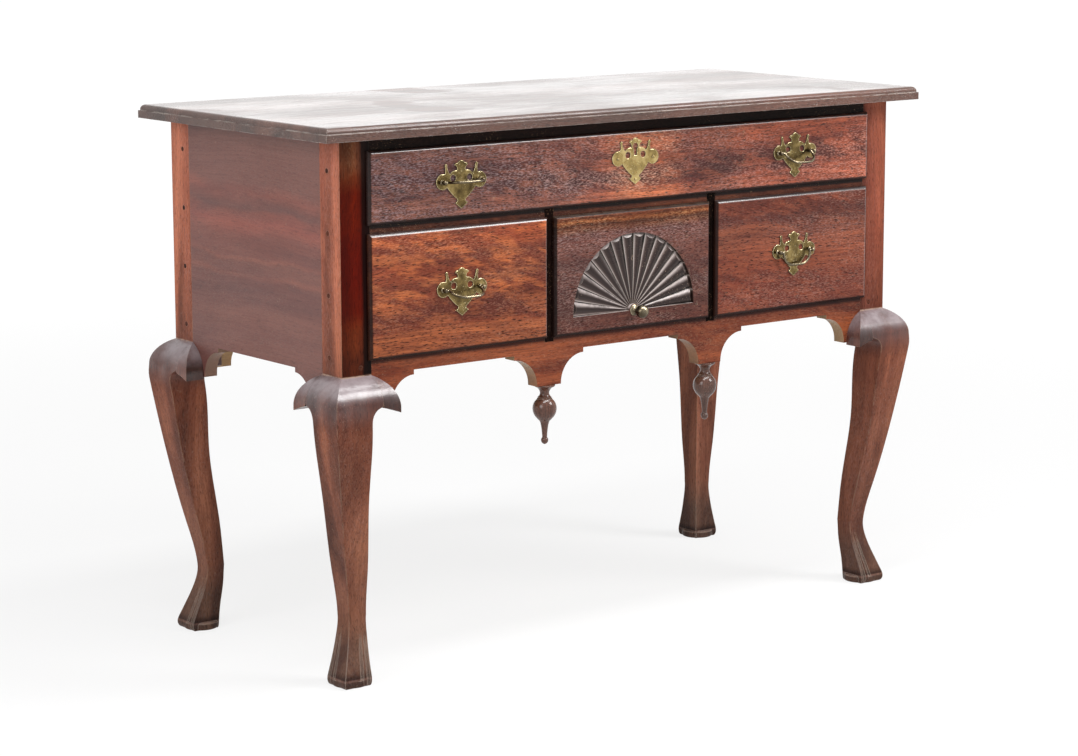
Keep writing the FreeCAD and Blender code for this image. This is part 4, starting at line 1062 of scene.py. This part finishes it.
RIGHT_BANDS = Bands("Z", 0.4415, 0.178, (
    (0.0, (0.75, 0.68, 0.65)), (0.15, (0.98, 0.86, 0.78)), (0.45, (0.95, 0.88, 0.8)),
    (0.6, (0.9, 0.88, 0.85)), (0.66, (0.68, 0.72, 0.78)), (0.72, (0.86, 0.88, 0.86)),
    (0.8, (0.7, 0.72, 0.76)), (0.9, (1.1, 0.98, 0.88)), (1.0, (0.75, 0.72, 0.72))),
    shake=0.012, drift=4.0)

DRAWER_WOOD = WoodFinish(
    "drawer_mahogany", deep=(0.05, 0.015, 0.013), body=(0.17, 0.046, 0.03),
    light=(0.42, 0.13, 0.066), seed=9.2, mottle=(0.05, 0.018, 0.016), mottle_amount=0.5,
    ribbon_amount=0.5, fibre_amount=0.66, pore_amount=1.0, speckle=(0.8, 0.54, 0.48),
    speckle_amount=0.34, worn=(0.4, 0.26, 0.16), wear=0.3, arris=1.4, rough_low=0.32,
    rough_high=0.5, specular=0.2, lip_black_and_shade=0.9, polish=Polish(1.0, 0.18, 1.6, lips=True))

FAN = Carving(height=0.4714, radius=0.1105, face=-0.2195)

SECONDARY_WOOD = WoodFinish(
    "old_pine", deep=(0.27, 0.15, 0.07), body=(0.42, 0.25, 0.12), light=(0.55, 0.36, 0.19),
    seed=1.1, mottle=(0.24, 0.15, 0.08), mottle_amount=0.5, pore_amount=0.2,
    speckle=(0.2, 0.12, 0.06), speckle_amount=0.25, worn=(0.5, 0.36, 0.2), wear=0.3,
    rough_low=0.6, rough_high=0.8, bump=0.5)


# ------------------------------ sub-assemblies
@dataclass
class TopBoard:
    """The moulded top board."""

    finish: WoodFinish = TOP_WOOD

    def build(self) -> None:
        """Dress the board."""
        dress("top_board", self.finish.build())


@dataclass
class CaseWork:
    """The boards, rails, stiles and pegs of the case, with the runners inside it."""

    sides: WoodFinish = SIDE_WOOD
    rails: WoodFinish = FRONT_WOOD
    secondary: WoodFinish = SECONDARY_WOOD
    pegs: WoodFinish = replace(
        SMALL_WOOD, name="peg_end_grain", deep=(0.02, 0.006, 0.004), body=(0.04, 0.012, 0.008),
        light=(0.07, 0.02, 0.012), grain=Grain.ALONG_X, seed=3.3, speckle_amount=0.0, arris=0.5,
        wear=0.15, polish=Polish())
    bare_edges: Colour = (0.3, 0.21, 0.12)
    along_x: tuple[str, ...] = ("centre_bearers", "back_board")
    along_y: tuple[str, ...] = (
        *(f"{place}_runner_{side.value}" for place in ("lower", "upper", "centre")
          for side in Side), "drawer_guides", "top_kickers", "glue_blocks")

    def build(self) -> None:
        """Dress every piece of the case."""
        for side in Side:
            board = replace(self.sides, name=f"side_mahogany_{side.value}",
                            seed=self.sides.seed + side.sign)
            dress(f"side_board_{side.value}", board.build())
            # The stiles are painted near black: painted shade on their fronts between the drawers'
            # proud lips.
            stile = replace(self.rails, name=f"stile_painted_shade_{side.value}", grain=Grain.ALONG_Z,
                            deep=(0.002, 0.001, 0.0008), body=(0.005, 0.002, 0.0015),
                            light=(0.012, 0.004, 0.003), mottle=(0.004, 0.002, 0.0015),
                            speckle_amount=0.02, wear=0.05, chips=0.05, specular=0.02,
                            seed=11.0 + side.sign)
            dress(f"stile_{side.value}", stile.build())
        # The apron carries the painted shadow under the lower drawers' lips.
        apron = replace(self.rails, bands=(APRON_LIP_SHADOW,), cut_face=self.bare_edges)
        dress("front_apron", apron.build())
        # The middle rail carries the painted shadow under the long drawer's lip.
        middle = replace(self.rails, name="middle_rail_mahogany", deep=(0.02, 0.005, 0.003),
                         body=(0.07, 0.018, 0.009), light=(0.2, 0.06, 0.028), seed=13.4,
                         speckle_amount=0.15, bands=(RAIL_LIP_SHADOW,))
        dress("middle_rail", middle.build())
        # The top rail is painted near black: painted shade under the top board's overhang.
        shaded = replace(self.rails, name="top_rail_painted_shade", deep=(0.003, 0.0015, 0.001),
                         body=(0.007, 0.003, 0.002), light=(0.018, 0.006, 0.004), seed=12.1,
                         mottle=(0.005, 0.002, 0.0015), speckle_amount=0.03, wear=0.1, chips=0.1,
                         specular=0.06)
        dress("top_rail", shaded.build())
        dress("joint_pegs", self.pegs.build())
        for name in self.along_x:
            dress(name, self.secondary.build())
        runner = replace(self.secondary, name="old_pine_runners", grain=Grain.ALONG_Y, seed=8.2)
        for name in self.along_y:
            dress(name, runner.build())


@dataclass
class CabrioleLegs:
    """The four legs with their posts and knee blocks."""

    finish: WoodFinish = LEG_WOOD

    def build(self) -> None:
        """Dress each leg and its blocks."""
        own = {
            "front_left": {"front_tint_and_shade": (POST_TINT_AND_SHADOW, POST_HEIGHT_BANDS)},
            "front_right": {"front_tint_and_shade": (RIGHT_POST_BANDS,), "seed": 1.7},
            "back_left": {"seed": 3.9},
            "back_right": {"seed": 5.2, "body": (0.22, 0.068, 0.035), "light": (0.4, 0.14, 0.07)},
        }
        for place, changes in own.items():
            dress(f"leg_{place}", replace(self.finish, name=f"leg_{place}", **changes).build())
        # The knee blocks' front ends get painted shade.
        blocks = replace(self.finish, name="knee_block_mahogany", arris=1.6, seed=7.7,
                         front_tint_and_shade=(BLOCK_SHADE,), front_from=0.3)
        for side in Side:
            dress(f"knee_blocks_front_{side.value}", blocks.build())
            dress(f"knee_block_back_{side.value}", blocks.build())


@dataclass
class Drawers:
    """The four drawers: their fronts, sides, backs and bottoms."""

    front: WoodFinish = DRAWER_WOOD
    box: WoodFinish = replace(SECONDARY_WOOD, name="old_poplar", body=(0.38, 0.26, 0.13),
                              seed=14.0)

    def fronts(self) -> dict[str, WoodFinish]:
        """Choose each front's own board.

        Returns:
            The finish of each front, by the name of its drawer.
        """
        return {
            "top": replace(self.front, body=(0.19, 0.052, 0.034), bands=(LONG_BANDS,)),
            "left": replace(
                self.front, name="drawer_mahogany_left", deep=(0.085, 0.02, 0.013),
                body=(0.22, 0.048, 0.021), light=(0.5, 0.15, 0.052), seed=15.3,
                mottle=(0.1, 0.03, 0.024), mottle_amount=0.42, speckle=(0.75, 0.36, 0.24),
                speckle_amount=0.2, specular=0.12, bands=(LEFT_BANDS,)),
            "centre": replace(
                self.front, name="drawer_mahogany_fan", deep=(0.06, 0.022, 0.018),
                body=(0.11, 0.038, 0.029), light=(0.18, 0.062, 0.042), seed=17.9,
                speckle_amount=0.2, worn=(0.5, 0.36, 0.26), worn_line=(0.6145, 0.0012),
                arris=1.1, rough_low=0.24, rough_high=0.4, bump=0.2, specular=0.1,
                bands=(FAN_BANDS,), carving=FAN, polish=Polish(0.3, 0.12, 1.45)),
            "right": replace(
                self.front, name="drawer_mahogany_right", deep=(0.1, 0.025, 0.017),
                body=(0.19, 0.045, 0.027), light=(0.34, 0.095, 0.048), seed=23.4,
                mottle_amount=0.42, speckle_amount=0.2, specular=0.14, bands=(RIGHT_BANDS,)),
        }

    def build(self) -> None:
        """Dress the four drawers."""
        sides = replace(self.box, name="old_poplar_sides", grain=Grain.ALONG_Y, seed=16.0)
        for name, front in self.fronts().items():
            for part, look in (("front", front), ("sides", sides), ("back", self.box),
                               ("bottom", SECONDARY_WOOD)):
                dress(f"{name}_drawer_{part}", look.build())


@dataclass
class Pendants:
    """The two turned drops under the apron, in millimetres; the profile is distance and radius."""

    x: float = 148.0
    y: float = -202.0
    top: float = 378.5
    steps: int = 36
    levels: int = 1
    profile: tuple[Pair, ...] = (
        (-16.0, 0.0), (-16.0, 4.6), (-15.6, 5.0), (-0.4, 5.0), (0.0, 5.2), (0.0, 14.4),
        (0.5, 15.0), (1.8, 15.0), (2.6, 14.6), (3.2, 13.0), (5.2, 9.6), (8.6, 7.2), (12.0, 6.3),
        (14.6, 6.9), (17.0, 8.4), (17.6, 9.8), (18.1, 9.9), (18.7, 9.3), (19.0, 9.3),
        (19.6, 10.9), (20.1, 11.0), (20.7, 10.5), (21.4, 11.6), (24.5, 14.5), (29.0, 16.8),
        (34.5, 17.4), (40.0, 16.5), (44.5, 14.2), (47.4, 11.9), (47.9, 11.0), (48.4, 10.9),
        (49.0, 10.4), (51.0, 8.0), (53.5, 6.3), (58.0, 5.2), (66.0, 4.1), (74.0, 3.5),
        (76.0, 3.45), (76.6, 4.4), (78.0, 5.2), (80.3, 5.3), (82.8, 4.5), (84.6, 2.6),
        (85.4, 0.9), (85.5, 0.0))
    finish: WoodFinish = replace(
        SMALL_WOOD, name="turned_mahogany", deep=(0.012, 0.007, 0.006), body=(0.03, 0.017, 0.013),
        light=(0.07, 0.042, 0.033), arris=0.8, wear=0.7, worn=(0.4, 0.31, 0.25), rough_low=0.24,
        specular=0.05, polish=Polish(0.75, 0.14))

    def build(self) -> None:
        """Turn both drops and put them in place of the plain ones."""
        for side in Side:
            origin = Vector((side.sign * self.x, self.y, self.top)) * MM
            mesh = Turning(self.profile, origin, Vector((0, 0, -1)), self.steps).mesh()
            finish_piece(mesh, f"turned_drop_{side.value}", self.finish.build(), "case",
                         f"pendant_{side.value}", self.levels)


@dataclass
class Brasses:
    """The batwing pulls, the escutcheon with its nails, and the fan drawer's knob."""

    plate: BrassFinish = BrassFinish("plate_brass")
    bright_plate: BrassFinish = BrassFinish(
        "escutcheon_brass", dull=(0.24, 0.17, 0.065), body=(0.4, 0.29, 0.11),
        sheen=(0.6, 0.46, 0.2), seed=3.0)
    bail: BrassFinish = BrassFinish(
        "bail_brass", dull=(0.07, 0.055, 0.035), body=(0.15, 0.12, 0.075), sheen=(0.25, 0.2, 0.13),
        bright=(0.8, 0.7, 0.5), side_shade=0.75, rough_low=0.14, rough_high=0.3, seed=2.0)
    knob: BrassFinish = BrassFinish(
        "knob_brass", dull=(0.1, 0.08, 0.055), body=(0.22, 0.185, 0.125), sheen=(0.36, 0.3, 0.2),
        bright=(0.6, 0.5, 0.35), side_shade=0.6, rough_low=0.2, rough_high=0.36, seed=5.0)

    def build(self) -> None:
        """Dress all the brass."""
        for pull in ("top", "left", "right"):
            dress(f"{pull}_pull_plates", self.plate.build())
            dress(f"{pull}_pull_posts", self.bail.build())
        for name in ("bail_top_left", "bail_top_right", "bail_left", "bail_right"):
            dress(name, self.bail.build())
        for name in ("escutcheon", "escutcheon_nails"):
            dress(name, self.bright_plate.build())
        dress("fan_knob", self.knob.build())


# ------------------------------ studio
@dataclass(frozen=True)
class SoftLamp:
    """A soft area lamp aimed at a point."""

    name: str
    place: Triple
    aim: Triple
    size: Pair
    watts: float

    def build(self) -> None:
        """Hang the lamp."""
        lamp = bpy.data.lights.new(self.name, "AREA")
        lamp.shape = "RECTANGLE"
        lamp.size, lamp.size_y = self.size
        lamp.energy = self.watts
        obj = bpy.data.objects.new(self.name, lamp)
        obj.visible_camera = False
        bpy.context.scene.collection.objects.link(obj)
        obj.location = self.place
        towards = Vector(self.aim) - Vector(self.place)
        obj.rotation_euler = towards.to_track_quat("-Z", "Y").to_euler()


@dataclass
class Studio:
    """Floor, surround, lamps and camera, with angles in degrees."""

    camera_place: Triple = (-2.70542, -3.49703, 1.13399)
    azimuth: float = 37.7105
    pitch: float = 10.1494
    roll: float = 0.1303
    lens: float = 101.12
    sensor: float = 36.0
    view_end: float = 100.0
    surround: float = 0.28
    floor_size: float = 20.0
    floor_grey: float = 0.82
    floor_rough: float = 0.9
    floor_glow: float = 0.8
    glow_from: float = 0.8
    glow_to: float = 5.0
    glow_far: float = 1.22
    lamps: tuple[SoftLamp, ...] = (
        SoftLamp("key", (2.1, -2.4, 2.9), (0.0, 0.0, 0.5), (1.4, 1.4), 100.0),
        SoftLamp("fill", (-3.0, -0.8, 1.6), (0.0, 0.0, 0.5), (1.8, 1.8), 46.0),
        SoftLamp("overhead", (0.0, -0.9, 3.0), (0.0, 0.0, 0.7), (2.6, 0.5), 60.0),
        SoftLamp("behind", (2.9, 3.7, 1.9), (0.0, 0.0, 0.75), (5.0, 1.8), 14.0),
    )

    def white_for_sight(self, desk: NodeDesk) -> Socket:
        """1 for rays from the camera, or by way of a mirror or glass."""
        path = desk.add("LightPath").outputs
        return desk.math("ADD", path["Is Camera Ray"], path["Is Glossy Ray"],
                         path["Is Transmission Ray"], clamp=True)

    def build_world(self) -> None:
        """White where it is looked at, softer where it lights the piece."""
        world = bpy.data.worlds.new("plain_white")
        world.use_nodes = True
        bpy.context.scene.world = world
        desk = NodeDesk(world.node_tree)
        strength = desk.add("MapRange", {"Value": self.white_for_sight(desk),
                                         "To Min": self.surround, "To Max": 1.0})
        desk.fill(world.node_tree.nodes["Background"],
                  {"Color": WHITE, "Strength": strength.outputs["Result"]})

    def build_floor(self) -> None:
        """A wide pale floor that keeps a faint shadow."""
        mesh = bmesh.new()
        bmesh.ops.create_grid(mesh, x_segments=1, y_segments=1, size=self.floor_size)
        data = bpy.data.meshes.new("floor")
        mesh.to_mesh(data)
        mesh.free()
        floor = bpy.data.objects.new("floor", data)
        bpy.context.scene.collection.objects.link(floor)
        material, desk, matte = start_material("floor_white")
        desk.fill(matte, {"Base Color": (self.floor_grey,) * 3, "Roughness": self.floor_rough})
        far = desk.vector("LENGTH", desk.add("TexCoord").outputs["Object"])
        strength = desk.step(far, self.glow_from, self.glow_to, 1.0, self.glow_far)
        glow = desk.add("Emission", {"Color": WHITE, "Strength": strength})
        share = desk.times(self.white_for_sight(desk), self.floor_glow)
        blend = desk.add("MixShader", {0: share, 1: matte.outputs[0], 2: glow.outputs[0]})
        out = material.node_tree.nodes["Material Output"]
        desk.put(out.inputs["Surface"], blend.outputs[0])
        data.materials.append(material)

    def build_camera(self) -> None:
        """Stand the camera at the front left."""
        data = bpy.data.cameras.new("camera")
        data.lens = self.lens
        data.sensor_width = self.sensor
        data.sensor_fit = "HORIZONTAL"
        data.clip_end = self.view_end
        camera = bpy.data.objects.new("camera", data)
        bpy.context.scene.collection.objects.link(camera)
        turn, dip = math.radians(self.azimuth), math.radians(self.pitch)
        ahead = Vector((math.sin(turn) * math.cos(dip), math.cos(turn) * math.cos(dip),
                        -math.sin(dip)))
        right = Vector((math.cos(turn), -math.sin(turn), 0.0))
        right = (Matrix.Rotation(math.radians(self.roll), 3, ahead) @ right).normalized()
        axes = Matrix((right, right.cross(ahead), -ahead)).transposed()
        camera.matrix_world = Matrix.Translation(self.camera_place) @ axes.to_4x4()
        bpy.context.scene.camera = camera

    def build(self) -> None:
        """Set up the studio."""
        bpy.context.scene.view_settings.view_transform = "Standard"
        self.build_world()
        self.build_floor()
        for lamp in self.lamps:
            lamp.build()
        self.build_camera()
        LOG.info("studio set up with %d lamps", len(self.lamps))


def main() -> None:
    """Build the sub-assemblies in order."""
    logging.basicConfig(level=logging.INFO, format="%(name)s: %(message)s")
    parts = (TopBoard(), CaseWork(), CabrioleLegs(), Drawers(), Pendants(), Brasses(), Studio())
    for part in parts:
        LOG.info("building %s", type(part).__name__)
        part.build()


if __name__ == "__main__":
    main()
